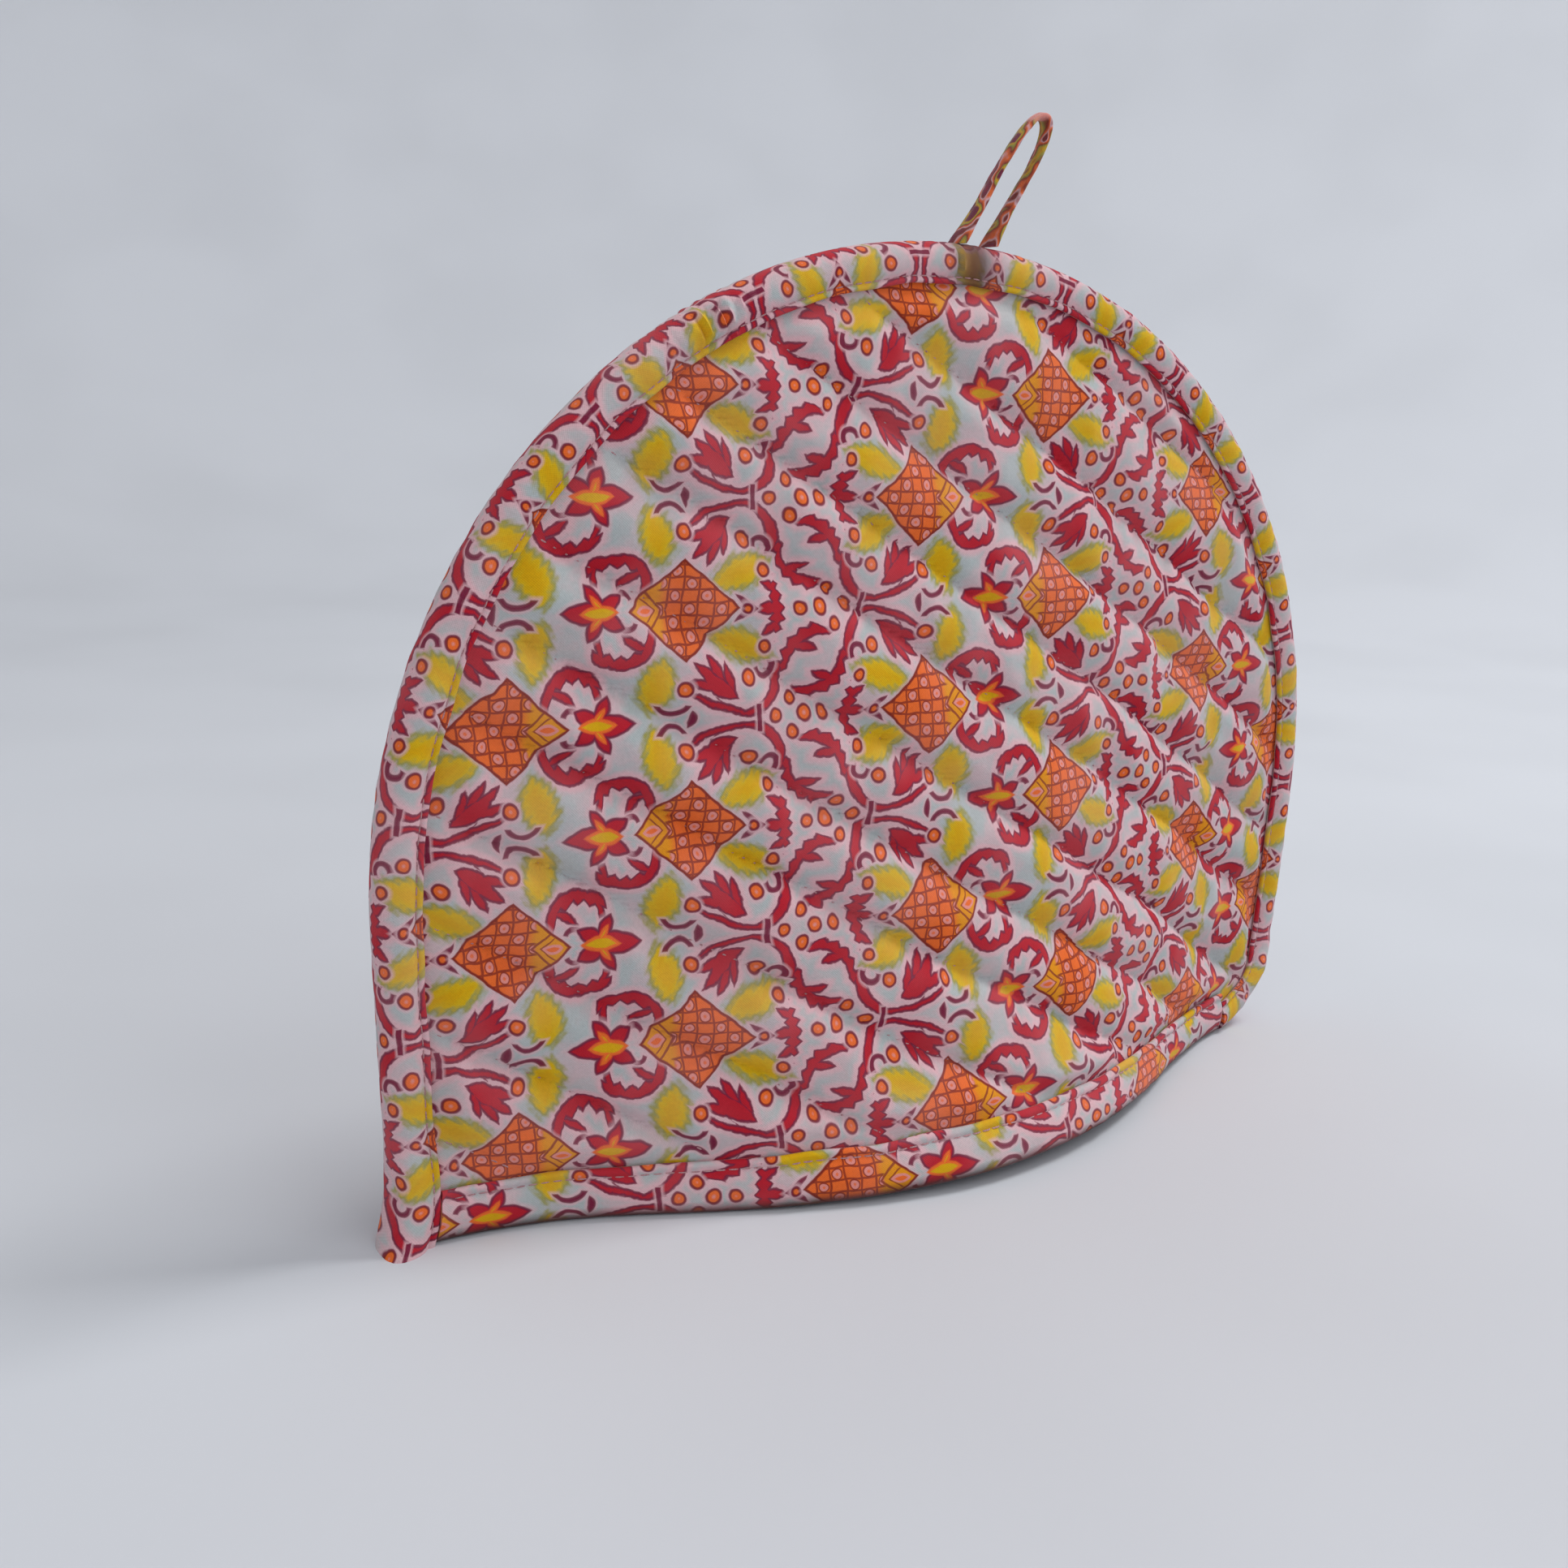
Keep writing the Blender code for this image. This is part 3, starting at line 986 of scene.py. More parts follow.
    def lines(self, motif: Motif, under: Socket) -> Socket:
        """Draws the thin wine-coloured lines: vine ends, hooks, neck and tendrils."""
        hook = motif.arc((37.6, 20.6), 4.2, 0.42, (0.0, 1.0), 0.55)
        below = 23.4 - motif.beyond((0.0, 0.0), (0.0, 1.0))
        neck = (abs(motif.beyond((15.4, 0.0), (1.0, 0.0))) - 0.4).high(below)
        wedge = motif.lens((32.6, 24.2), (32.6, 28.5), 0.8, 0.5)
        tendril = motif.arc((49.6, 2.2), 2.1, 0.4, (0.3, 1.0), 0.1)
        snail = motif.arc((12.6, 14.4), 2.2, 0.45, (-0.3, 1.0), -0.1)
        sprig = motif.lens((20.4, 3.0), (15.2, 0.0), 0.5, 0.3)
        colours = self.colours
        stops = (
            (-0.4, colours.wine, 1.0),
            (0.12, colours.wine, 0.9),
            (0.42, colours.blush, 0.8),
            (1.2, colours.blush, 0.0),
        )
        return motif.board.ramp(hook.low(neck, wedge, tendril, snail, sprig), stops, under)

    def spots(self, motif: Motif, under: Socket) -> Socket:
        """Draws the orange spots with dark rims."""
        places = (
            ((34.6, 18.6), 2.0),
            ((17.6, 16.4), 2.0),
            ((12.6, 9.2), 1.7),
            ((3.2, 0.0), 1.8),
            ((6.0, 22.2), 1.8),
            ((11.0, 26.35), 1.8),
            ((2.4, 26.35), 2.1),
            ((17.6, 0.0), 1.3),
        )
        first, *others = (motif.disc(*place) for place in places)
        colours = self.colours
        stops = (
            (-1.9, colours.pink, 1.0),
            (-1.35, colours.orange, 1.0),
            (-0.75, colours.orange, 1.0),
            (-0.45, colours.brown, 1.0),
            (-0.05, colours.wine, 0.95),
            (0.30, colours.blush, 0.8),
            (1.2, colours.blush, 0.0),
        )
        return motif.board.ramp(first.low(*others), stops, under)

    def diamond(self, motif: Motif, under: Socket) -> Socket:
        """Draws the diamond: a lattice of squares with spots, and a chevron at one corner."""
        colours, board = self.colours, motif.board
        x, y, _ = board.split(motif.at)
        across = x - 34.2
        edge = (abs(across) / 14.8 + y / 12.6 - 1.0) * 9.2
        cell_x, cell_y = 3.8, 3.15
        side = across.there_and_back(cell_x / 2)
        row = (y - cell_y / 2).there_and_back(cell_y / 2)
        counted = board.maths("FLOOR", (y + cell_y / 2) / cell_y)
        parity = board.maths("FLOOR", across / cell_x) + counted
        chequer = board.maths("FLOORED_MODULO", parity, 2.0) * across.ease(6.2, 5.2)
        off_x, off_y = cell_x / 2 - side, cell_y / 2 - row
        from_middle = board.maths("SQRT", off_x * off_x + off_y * off_y)
        lattice = side.low(row).ease(0.40, 0.15) * across.ease(7.0, 5.6)
        chevron = abs(across - 5.0 - y * 1.05).ease(0.60, 0.25) * y.ease(4.8, 3.8)
        second = abs(across - 7.2 - y * 1.15).ease(0.45, 0.15) * y.ease(3.2, 2.4)
        drop = motif.lens((41.8, 0.0), (46.6, 0.0), 1.15)
        fill = board.mix(across.ease(3.0, 6.5), colours.orange, colours.amber)
        for cover, colour in (
            (from_middle.ease(1.60, 1.35) * chequer * 0.85, colours.brown),
            (from_middle.ease(1.25, 1.00) * chequer, colours.pink),
            (from_middle.ease(0.55, 0.25) * chequer * 0.8, colours.orange),
            (lattice.high(chevron, second) * 0.85, colours.brown),
            (drop.ease(0.25, -0.05), colours.pink),
            (drop.ease(-0.4, -0.7), colours.orange),
            (edge.ease(-0.85, -0.40), colours.brown),
        ):
            fill = board.mix(cover, fill, colour)
        halo = board.mix(edge.ease(1.2, 0.1) * 0.6, under, colours.blush)
        return board.mix(edge.ease(0.2, -0.15), halo, fill)

    def star(self, motif: Motif, under: Socket) -> Socket:
        """Draws the star flower: a long petal, two points and a yellow eye."""
        colours, board = self.colours, motif.board
        petal = motif.lens((52.0, 0.0), (66.6, 0.0), 2.7)
        point = motif.lens((55.4, 0.4), (59.8, 6.6), 1.7, -0.2)
        shoulder = motif.lens((57.4, 0.2), (50.6, 3.9), 1.9)
        stops = (
            (-1.5, colours.red, 1.0),
            (-0.65, colours.red, 1.0),
            (-0.25, colours.wine, 1.0),
            (0.10, colours.wine, 0.9),
            (0.45, colours.blush, 0.6),
            (1.6, colours.blush, 0.0),
        )
        colour = board.ramp(petal.low(point, shoulder), stops, under)
        long_eye = motif.lens((51.4, 0.0), (61.6, 0.0), 1.9)
        eye = long_eye.low(motif.lens((55.6, 0.2), (58.8, 4.2), 0.9))
        colour = board.mix(eye.ease(0.3, -0.3), colour, colours.orange)
        return board.mix(eye.ease(-0.5, -1.0), colour, colours.straw)

    def cloth(self, board: PaintBoard, cloth: Socket, colour: Socket) -> None:
        """Gives the print its weave, its painted shade at the hem's fold and the loop's foot, its
        uneven dye and its soft sheen.

        Args:
            board: The finish.
            cloth: The place on the cloth.
            colour: The printed colour.
        """
        _, _, painted_shade_amount = board.split(cloth)
        colour = self.weave.dyed_with_weave_shade(*self.weave.lay(board, cloth), colour)
        # Painted shade: darkens towards dark brown on the hem's lower fold and round the loop's
        # foot.
        colour = board.mix(painted_shade_amount, colour, self.colours.painted_shade_tint)
        fade = board.speckle(cloth, 0.035, 2.0).ease(0.35, 0.7)
        colour = board.mix(fade * 0.10, colour, self.colours.blush)
        shine = {"Specular IOR Level": 0.15, "Sheen Roughness": 0.5}
        board.feed(board.shader, {"Base Color": colour, **shine})


@dataclass(frozen=True)
class StrapCotton:
    """A narrow strip of the print, folded so that only scraps of its shapes show.

    Args:
        name: The finish's name.
        colours: The dyes.
        weave: The cloth that takes them.
        top_reach: How far its pale top reaches either way, in millimetres.
    """

    name: str
    colours: PrintColours = PrintColours()
    weave: CottonWeave = CottonWeave(sheen=0.25, light=0.80, mottle=0.3)
    top_reach: float = 3.6

    def make(self) -> Finish:
        """Builds the finish, with a pale top where the back of the cloth shows.

        Returns:
            The material.
        """
        board = PaintBoard(self.name)
        cloth = board.cloth_place()
        along, across, _ = board.split(cloth)
        scraps = board.speckle(board.join(along * 0.5, across * 0.8), 0.26, 1.0)
        colours = self.colours
        stops = (
            (0.26, colours.wine, 1.0),
            (0.36, colours.wine, 1.0),
            (0.40, colours.straw, 1.0),
            (0.45, colours.olive, 1.0),
            (0.48, colours.brown, 1.0),
            (0.54, colours.orange, 1.0),
            (0.57, colours.blush, 1.0),
            (0.60, colours.brown, 1.0),
            (0.66, colours.wine, 1.0),
            (0.74, colours.red, 1.0),
        )
        pale = abs(along).ease(self.top_reach, self.top_reach / 2) * 0.85
        colour = board.mix(pale, board.ramp(scraps, stops), colours.pink)
        colour = self.weave.dyed_with_weave_shade(*self.weave.lay(board, cloth), colour)
        board.feed(board.shader, {"Base Color": colour})
        return board.material


@dataclass(frozen=True)
class PlainCotton:
    """Undyed cotton for the lining.

    Args:
        name: The finish's name.
        colour: Its colour.
        weave: Its weave.
    """

    name: str
    colour: Colour = tint(226, 216, 206)
    weave: CottonWeave = CottonWeave(
        pitch=0.7,
        slubs=1.1,
        slub_height=1.0,
        bump=0.6,
        depth=0.00012,
        rough=0.85,
        rougher=0.1,
        sheen=0.2,
    )

    def make(self) -> Finish:
        """Builds the finish, with its weave and faint unevenness."""
        board = PaintBoard(self.name)
        cloth = board.cloth_place()
        _, slub = self.weave.lay(board, cloth)
        patch = board.speckle(cloth, 0.05, 2.0)
        darker = darkened(self.colour, 0.80)
        colour = board.mix(slub.ease(0.3, 0.75) * 0.6, self.colour, darker)
        colour = board.mix(patch.ease(0.4, 0.7) * 0.25, colour, darker)
        board.feed(board.shader, {"Base Color": colour})
        return board.material


@dataclass(frozen=True)
class Mottled:
    """A matt finish of one colour with darker flecks or patches in it.

    Args:
        name: The finish's name.
        colour: Its colour.
        scale: Flecks in a metre.
        darkest: Light of a fleck against the rest.
        rough: Least roughness.
        rougher: How much the flecks add to it.
    """

    name: str
    colour: Colour
    scale: float
    darkest: float
    rough: float
    rougher: float

    def make(self) -> Finish:
        """Builds the finish."""
        board = PaintBoard(self.name)
        place = board.node("ShaderNodeTexCoord", {}, {}).outputs["Object"]
        fleck = board.speckle(place, self.scale)
        colour = board.mix(fleck.ease(0.35, 0.7), self.colour, darkened(self.colour, self.darkest))
        rough = self.rough + fleck * self.rougher
        board.feed(board.shader, {"Base Color": colour, "Roughness": rough})
        return board.material


@dataclass(frozen=True)
class SewingThread(Mottled):
    """Spun thread, with its fibres."""

    colour: Colour = tint(190, 142, 146)
    scale: float = 2600.0
    darkest: float = 0.62
    rough: float = 0.55
    rougher: float = 0.3


@dataclass(frozen=True)
class PaleFloor(Mottled):
    """The plain pale surface that the cosy stands on, very nearly even."""

    colour: Colour = tint(206, 209, 215)
    scale: float = 4.0
    darkest: float = 0.95
    rough: float = 0.85
    rougher: float = 0.1


@dataclass
class QuiltedPanel:
    """One quilted half-moon panel: printed face, wadding and lining in one shell.

    Args:
        name: The piece's name.
        node: The solid that it stands for.
        side: Front or back.
        form: The cut and the bow.
        quilting: The channels.
        cell: Size of a cell of the mesh.
        raw_edge: How far inside the cut the shell ends, hidden by the bindings.
        arch_cuts: Steps of the arch.
        corner_cuts: Steps of the rounded corner.
        print_shift: How far the print starts from the middle of the hem.
    """

    name: str
    node: str
    side: Side
    form: CosyForm
    quilting: Quilting
    cell: float = 0.0015
    raw_edge: float = 0.0016
    arch_cuts: int = 60
    corner_cuts: int = 14
    print_shift: Point2 = (0.0, 0.0)

    def cut_lines(self) -> list[tuple[Point2, Point2]]:
        """Lists the straight cuts that leave the half-moon.

        Returns:
            A point of each cut and the way out from it, on the flat cloth.
        """
        form = self.form
        radius, corner = form.radius - self.raw_edge, form.corner - self.raw_edge
        cuts: list[tuple[Point2, Point2]] = []
        for step in range(1, self.arch_cuts):
            turn = math.pi * step / self.arch_cuts
            out = (math.cos(turn), math.sin(turn))
            cuts.append(((radius * out[0], form.side_height + radius * out[1]), out))
        sign = 1 if self.side is Side.FRONT else -1
        for step in range(1, self.corner_cuts):
            turn = math.pi / 2 * step / self.corner_cuts
            out = (math.sin(turn), -math.cos(turn))
            x = form.radius - form.corner + corner * out[0]
            cuts.append(((sign * x, form.corner + corner * out[1]), (sign * out[0], out[1])))
        return cuts

    def build(self) -> Piece:
        """Cuts the cloth, gives it a lining, and moves it to where it stands.

        Returns:
            The shaped piece.
        """
        form, edge, thick = self.form, self.raw_edge, self.quilting.flat_thickness
        width, height = 2 * (form.radius - edge), form.height - 2 * edge
        columns, rows = round(width / self.cell), round(height / self.cell)
        made = Cutting.grid(self.name, columns, rows, width, height)
        with Cutting.editing(made):
            bpy.ops.transform.translate(value=(0.0, form.height / 2, 0.0))
        Cutting.trim(made, self.cut_lines())
        with Cutting.editing(made):
            bpy.ops.mesh.extrude_region_move(TRANSFORM_OT_translate={"value": (0, 0, thick)})
        flat = [vertex.co.copy() for vertex in made.data.vertices]
        for polygon in made.data.polygons:
            lining = all(flat[index].z < thick / 2 for index in polygon.vertices)
            polygon.material_index = (Layer.LINING if lining else Layer.PRINT).value
        for vertex, (along, up, layer) in zip(made.data.vertices, flat):
            face = self.quilting.outer if layer > thick / 2 else self.quilting.inner
            vertex.co = form.place(along, up, face(form, along, up), self.side)
        shift_x, shift_y = self.print_shift
        Cutting.finish(made, [(along + shift_x, up + shift_y, 0.0) for along, up, _ in flat], 70)
        return made

    def dress(self, made: Piece, print_cloth: Finish, lining: Finish) -> Piece:
        Cutting.dress(made, self.node, "printed_cotton", print_cloth, lining)
        return made


@dataclass(frozen=True)
class Station:
    """A place on the outer fold of a binding.

    Args:
        along: Place along the cloth.
        height: Height above the hem.
        way_in: The way in from the fold, on the cloth.
        run: Distance along the binding.
    """

    along: float
    height: float
    way_in: Point2
    run: float


RingPoint = tuple[float, float, float, float]


@dataclass
class Binding(ABC):
    """A strip of cotton folded over an edge and topstitched along a groove in it.

    Args:
        form: The cut and the bow.
        name: The piece's name.
        node: The solid that it stands for.
        width: Width of the strip on each face.
        flat_width: Width of the strip before it is folded; not used.
        groove_rise: Height of the stitched groove, in thicknesses of the cloth.
        cloth: Thickness of the folded strip.
        step: Distance between sections.
        groove: Share of the width where that groove runs.
        groove_slack: How much of the unevenness the stitching takes.
        print_shift: How far the print starts from the strip's own start.
    """

    form: CosyForm
    name: str
    node: str
    width: float
    flat_width: float
    groove_rise: float
    cloth: float = 0.0012
    step: float = 0.0014
    groove: float = 0.835
    groove_slack: float = 0.2
    print_shift: Point2 = (0.0, 0.0)

    @property
    @abstractmethod
    def length(self) -> float:
        """The length of the strip."""

    @abstractmethod
    def ring(self) -> list[RingPoint]:
        """Lists the strip's closed section.

        Returns:
            Share of the width, distance out, freedom and place across the cloth.
        """

    @abstractmethod
    def lay(self, share_along: float, spot: RingPoint) -> tuple[tuple[float, ...], Vector]:
        """Lays one point of the strip.

        Args:
            share_along: Share of the strip's length.
            spot: The point's part of the section.

        Returns:
            Its place on the flat cloth with how much painted shade it has, and its place in space.
        """

    def closed(
        self, outer: Sequence[tuple[float, ...]], inner: Sequence[Point2]
    ) -> list[RingPoint]:
        """Closes a section, and measures the cloth across it.

        Args:
            outer: Share of the width, distance out and freedom of each visible point.
            inner: Share and distance of each point of the hidden inside.

        Returns:
            The section, whose last point is its first.
        """
        points: list[RingPoint] = []
        across = 0.0
        for share, out, free in outer:
            if points:
                across += math.hypot((share - points[-1][0]) * self.width, out - points[-1][1])
            points.append((share, out, free, across))
        for share, out in inner:
            across += HIDDEN_STEP
            points.append((share, out, 0.0, across))
        return [*points, points[0]]

    def build(self) -> Piece:
        """Rolls a long grid into the strip.

        Returns:
            The shaped piece.
        """
        ring = self.ring()
        last = len(ring) - 1
        made = Cutting.grid(self.name, round(self.length / self.step), last)
        places = []
        for vertex in made.data.vertices:
            spot = ring[round((vertex.co.y + 0.5) * last)]
            place, vertex.co = self.lay(vertex.co.x + 0.5, spot)
            places.append(place)
        Cutting.finish(made, places, 60)
        return made

    def dress(self, made: Piece, cloth: Finish) -> Piece:
        """Puts the print on the strip."""
        Cutting.dress(made, self.node, "binding_cotton", cloth)
        self.length
        return made


@dataclass
class EdgeBinding(Binding):
    """The strip folded over both panels round the sides and the arch.

    Args:
        seat: Half the thickness that the strip closes over.
        corner_turn: How far it follows the rounded corner.
        tail_flare: How far its left tail leans out at the hem.
        tail_height: How far up the tail does.
        tail_curl: Run over which the tail curls away.
        curl_out: How far the curl carries it to the side.
        curl_back: How far the curl carries it back.
        tuck_place: Run to the middle of its pulled folds.
        foot_place: Where along the cloth the loop is sewn in.
        foot_run: Run to the loop's foot.
        foot_shade_reach: How far the painted shade round the loop's foot reaches from there.
        sewn_from: Run to the first stitch.
        unsewn: Length without stitches.
    """

    name: str = "edge_binding_strip"
    node: str = "edge_binding"
    width: float = 0.010
    flat_width: float = 0.030
    groove_rise: float = 0.72
    print_shift: Point2 = (0.0405, 0.018)
    seat: float = 0.00365
    corner_turn: float = math.radians(84)
    tail_flare: float = 0.0025
    tail_height: float = 0.018
    tail_curl: float = 0.014
    curl_out: float = 0.0022
    curl_back: float = 0.0035
    tuck_place: float = 0.252
    foot_place: float = 0.0045
    foot_run: float = 0.331
    foot_shade_reach: float = 0.0070
    sewn_from: float = 0.004
    unsewn: float = 0.010

    @property
    def length(self) -> float:
        """The length round the sides and the arch, to where it ends in the right corner."""
        form = self.form
        straight = form.side_height + math.pi * form.radius + (form.side_height - form.corner)
        return straight + form.corner * self.corner_turn

    @cached_property
    def path(self) -> list[Station]:
        """The fold's stations, evenly spaced from the lower left to the lower right."""
        count = round(self.length / self.step)
        return [self.station(self.length * number / count) for number in range(count + 1)]

    def station(self, run: float) -> Station:
        """Finds one station.

        Args:
            run: Distance along the strip from its lower left end.

        Returns:
            The station.
        """
        form = self.form
        side, arch, drop = form.side_height, math.pi * form.radius, form.side_height - form.corner
        if run <= side:
            flare = self.tail_flare * max(1 - run / self.tail_height, 0.0) ** 2
            return Station(-form.radius - flare, run, (1.0, 0.0), run)
        if run <= side + arch:
            turn = math.pi - (run - side) / form.radius
            way = (-math.cos(turn), -math.sin(turn))
            return Station(-form.radius * way[0], side - form.radius * way[1], way, run)
        if run <= side + arch + drop:
            return Station(form.radius, side - (run - side - arch), (-1.0, 0.0), run)
        turn = (run - side - arch - drop) / form.corner
        way = (-math.cos(turn), math.sin(turn))
        middle = form.radius - form.corner
        return Station(middle - form.corner * way[0], form.corner * (1 - way[1]), way, run)

    def ring(self) -> list[RingPoint]:
        """Lists the section: over the front, round the fold, over the back and inside.

        Returns:
            Share in, distance from the seam plane, freedom and place across the cloth.
        """
        leg = (
            (1.000, 0.15, 0.1),
            (1.012, 0.60, 0.4),
            (0.985, 1.05, 0.6),
            (0.930, 1.20, 0.6),
            (0.875, 1.00, 0.4),
            (0.835, 0.72, 0.2),
            (0.790, 1.05, 0.6),
            (0.720, 1.50, 1.0),
            (0.610, 1.80, 1.0),
            (0.490, 1.90, 1.0),
            (0.370, 1.82, 1.0),
            (0.250, 1.55, 0.9),
            (0.140, 1.00, 0.8),
            (0.055, 0.15, 0.7),
            (0.000, -1.05, 0.6),
            (-0.030, -2.10, 0.5),
        )
        front = [(share, self.seat + off * self.cloth, free) for share, off, free in leg]
        back = [(share, -reach, free) for share, reach, free in reversed(front)]
        floor = self.seat - CLEAR
        inner = [(1.0, -floor), (0.5, -floor), (0.16, -floor), (0.13, 0.0)]
        inner += [(share, -reach) for share, reach in inner[2::-1]]
        return self.closed([*front, (-0.042, 0.0, 0.5), *back], inner)

    def uneven(self, run: float, share: float, face: float) -> float:
        """How far the gathered strip stands off its even shape at a point."""
        gather = ripple(run / 0.0050 + 0.8 * share, share * 0.8, 31.0 + face)
        slack = ripple(run / 0.017, share, 47.0 + face)
        from_tuck, from_foot = run - self.tuck_place, run - self.foot_run
        pulled = math.sin(from_tuck / 0.0038 * 2 * math.pi * (1 + 0.15 * share))
        pleat = math.sin(from_foot / 0.0036 * 2 * math.pi * (1 + 0.10 * share))
        tuck = 0.0011 * hump(from_tuck, 0.0095) * pulled
        return 0.00045 * gather + 0.00045 * slack + tuck + 0.0006 * hump(from_foot, 0.0080) * pleat

    def lay(self, share_along: float, spot: RingPoint) -> tuple[tuple[float, ...], Vector]:
        """Lays one point of the strip, as Binding says."""
        station = self.path[round(share_along * (len(self.path) - 1))]
        *part, across = spot
        # Painted shade round the loop's foot, where the loop is sewn to the crown, fading away from
        # it.
        away = (station.along - self.foot_place, station.height - self.form.height)
        painted_shade_amount = 0.9 * hump(math.hypot(*away), self.foot_shade_reach)
        shift_across, shift_run = self.print_shift
        place = (across + shift_across, station.run + shift_run, PAINTED_SHADE_UNIT * painted_shade_amount)
        return place, self.point(station, *part)

    def point(self, station: Station, share: float, reach: float, free: float) -> Vector:
        """Finds a point of the strip.

        Args:
            station: The place on the fold.
            share: Share of the width in from the fold.
            reach: Distance from the seam plane, positive in front.
            free: How much of the unevenness it takes.

        Returns:
            The point in space.
        """
        face = math.copysign(1.0, reach)
        off = self.uneven(station.run, share, face) * free
        width = self.width * (1 + 0.05 * ripple(station.run / 0.014, 0.0, 53.0 + face))
        inward = share * width - 0.35 * off
        curl = max(1 - station.run / self.tail_curl, 0.0) ** 2 * (1 - share)
        along = station.along + station.way_in[0] * inward - self.curl_out * curl
        height = max(station.height + station.way_in[1] * inward, 0.0)
        x, stand_off, _ = self.form.section(along, height)
        away = abs(reach) + off + stand_off - self.form.gap / 2
        y = math.copysign(away, -reach) if reach else 0.0
        return Vector((x, y - self.curl_back * curl, height))

    def sew(self, stitching: "Stitching") -> None:
        """Topstitches the strip along the groove near its inner edge, on both faces."""
        stations = self.path
        step = self.length / (len(stations) - 1)
        reach = self.seat + self.groove_rise * self.cloth + CLEAR
        for face in (1.0, -1.0):

            def place(run: float, sideways: float, rise: float, face: float = face) -> Vector:
                """The point of the row, lifted just clear of the groove."""
                steps = (run + self.sewn_from) / step
                number = min(int(steps), len(stations) - 2)
                share, away = self.groove + sideways / self.width, face * (reach + rise)
                low, high = (
                    self.point(at, share, away, self.groove_slack)
                    for at in stations[number : number + 2]
                )
                return low.lerp(high, steps - number)

            stitching.row(self.length - self.unsewn, place)


@dataclass
class HemBinding(Binding):
    """The strip folded over the bottom edge of one panel.

    Args:
        side: Front or back.
        seed: Which unevenness it has.
        left_end: Where along the cloth it starts.
        right_end: Where it ends.
        left_flare: How far its left end leans out at the hem.
        flare_run: Distance along over which it does.
        flare_height: How far up it does.
        panel: Thickness of the panel that it closes over.
        clearance: How far it stands off that panel.
        lining_share: Thickness of its inner leg against the outer.
        sewn_from: Distance to the first stitch.
        unsewn: Length without stitches.
    """

    width: float = 0.0135
    flat_width: float = 0.032
    groove_rise: float = 0.68
    side: Side = Side.FRONT
    seed: float = 0.0
    left_end: float = -0.1494
    right_end: float = 0.1316
    left_flare: float = 0.0028
    flare_run: float = 0.016
    flare_height: float = 0.018
    panel: float = 0.0030
    clearance: float = 0.0006
    lining_share: float = 0.75
    sewn_from: float = 0.003
    unsewn: float = 0.006

    @property
    def length(self) -> float:
        """The length from corner to corner."""
        return self.right_end - self.left_end

    def ring(self) -> list[RingPoint]:
        """Lists the section, from its inner edge over the outside, the fold and inside.

        Returns:
            Share of the width up, distance outward, freedom and place across the cloth.
        """
        leg = (
            (1.000, 0.10),
            (1.010, 0.60),
            (0.980, 1.05),
            (0.925, 1.15),
            (0.870, 0.92),
            (0.835, 0.68),
            (0.790, 0.95),
            (0.700, 1.35),
            (0.580, 1.60),
            (0.440, 1.66),
            (0.300, 1.52),
            (0.180, 1.20),
            (0.085, 0.65),
            (0.025, -0.10),
            (0.000, -0.90),
        )
        out, back = self.panel + self.clearance, -self.clearance
        thin = self.lining_share * self.cloth
        faces = [(share, out + past * self.cloth) for share, past in leg]
        faces += [(share, back - past * thin) for share, past in reversed(leg)]
        outer = []
        for share, outward in faces:
            near_edge = 1.0 if 0.03 < share < 0.97 else 0.4
            outer.append((share, outward, min(max(outward / out, 0.0), 1.0) * near_edge))
        inner = [(share, back) for share in (1.0, 0.5, 0.12)]
        return self.closed(outer, inner + [(share, out) for share in (0.12, 0.5, 1.0)])

    def lay(self, share_along: float, spot: RingPoint) -> tuple[tuple[float, ...], Vector]:
        """Lays one point of the strip, as Binding says."""
        along = self.left_end + self.length * share_along
        *part, across = spot
        # Painted shade on the hem's lower fold: full over about the lowest tenth of its width, gone
        # at a quarter.
        painted_shade_amount = 0.95 * min(max((0.25 - part[0]) / 0.14, 0.0), 1.0)
        shift_along, shift_up = self.print_shift
        place = (along + shift_along, self.width - across + shift_up, PAINTED_SHADE_UNIT * painted_shade_amount)
        return place, self.point(along, *part)

    def point(self, along: float, share: float, outward: float, free: float) -> Vector:
        """Finds a point of the strip.

        Args:
            along: Distance along the cloth, to the right as the cosy is seen from the front.
            share: Share of the width up.
            outward: Distance out from the lining face.
            free: How much of the unevenness it takes.

        Returns:
            The point in space.
        """
        gather = ripple(along / 0.0056 + share, share * 0.7, 61.0 + self.seed)
        slack = ripple(along / 0.020, share, 67.0 + self.seed)
        off = (0.00035 * gather + 0.00040 * slack) * free
        up = share * self.width * (1 + 0.04 * ripple(along / 0.016, 0.0, 71.0 + self.seed))
        near_end = max(1 - (along - self.left_end) / self.flare_run, 0.0)
        along -= self.left_flare * near_end * max(1 - up / self.flare_height, 0.0) ** 2
        flip = 1.0 if self.side is Side.FRONT else -1.0
        point = self.form.place(flip * along, max(up - 0.3 * off, 0.0), outward + off, self.side)
        return Vector((point.x, point.y, max(point.z, 0.0)))

    def sew(self, stitching: "Stitching") -> None:
        """Topstitches the strip along the groove near its upper edge."""
        outward = self.panel + self.clearance + self.groove_rise * self.cloth + CLEAR

        def place(run: float, sideways: float, rise: float) -> Vector:
            """The point of the row, lifted just clear of the groove."""
            along = self.left_end + self.sewn_from + run
            share = self.groove + sideways / self.width
            return self.point(along, share, outward + rise, self.groove_slack)

        stitching.row(self.length - self.unsewn, place)


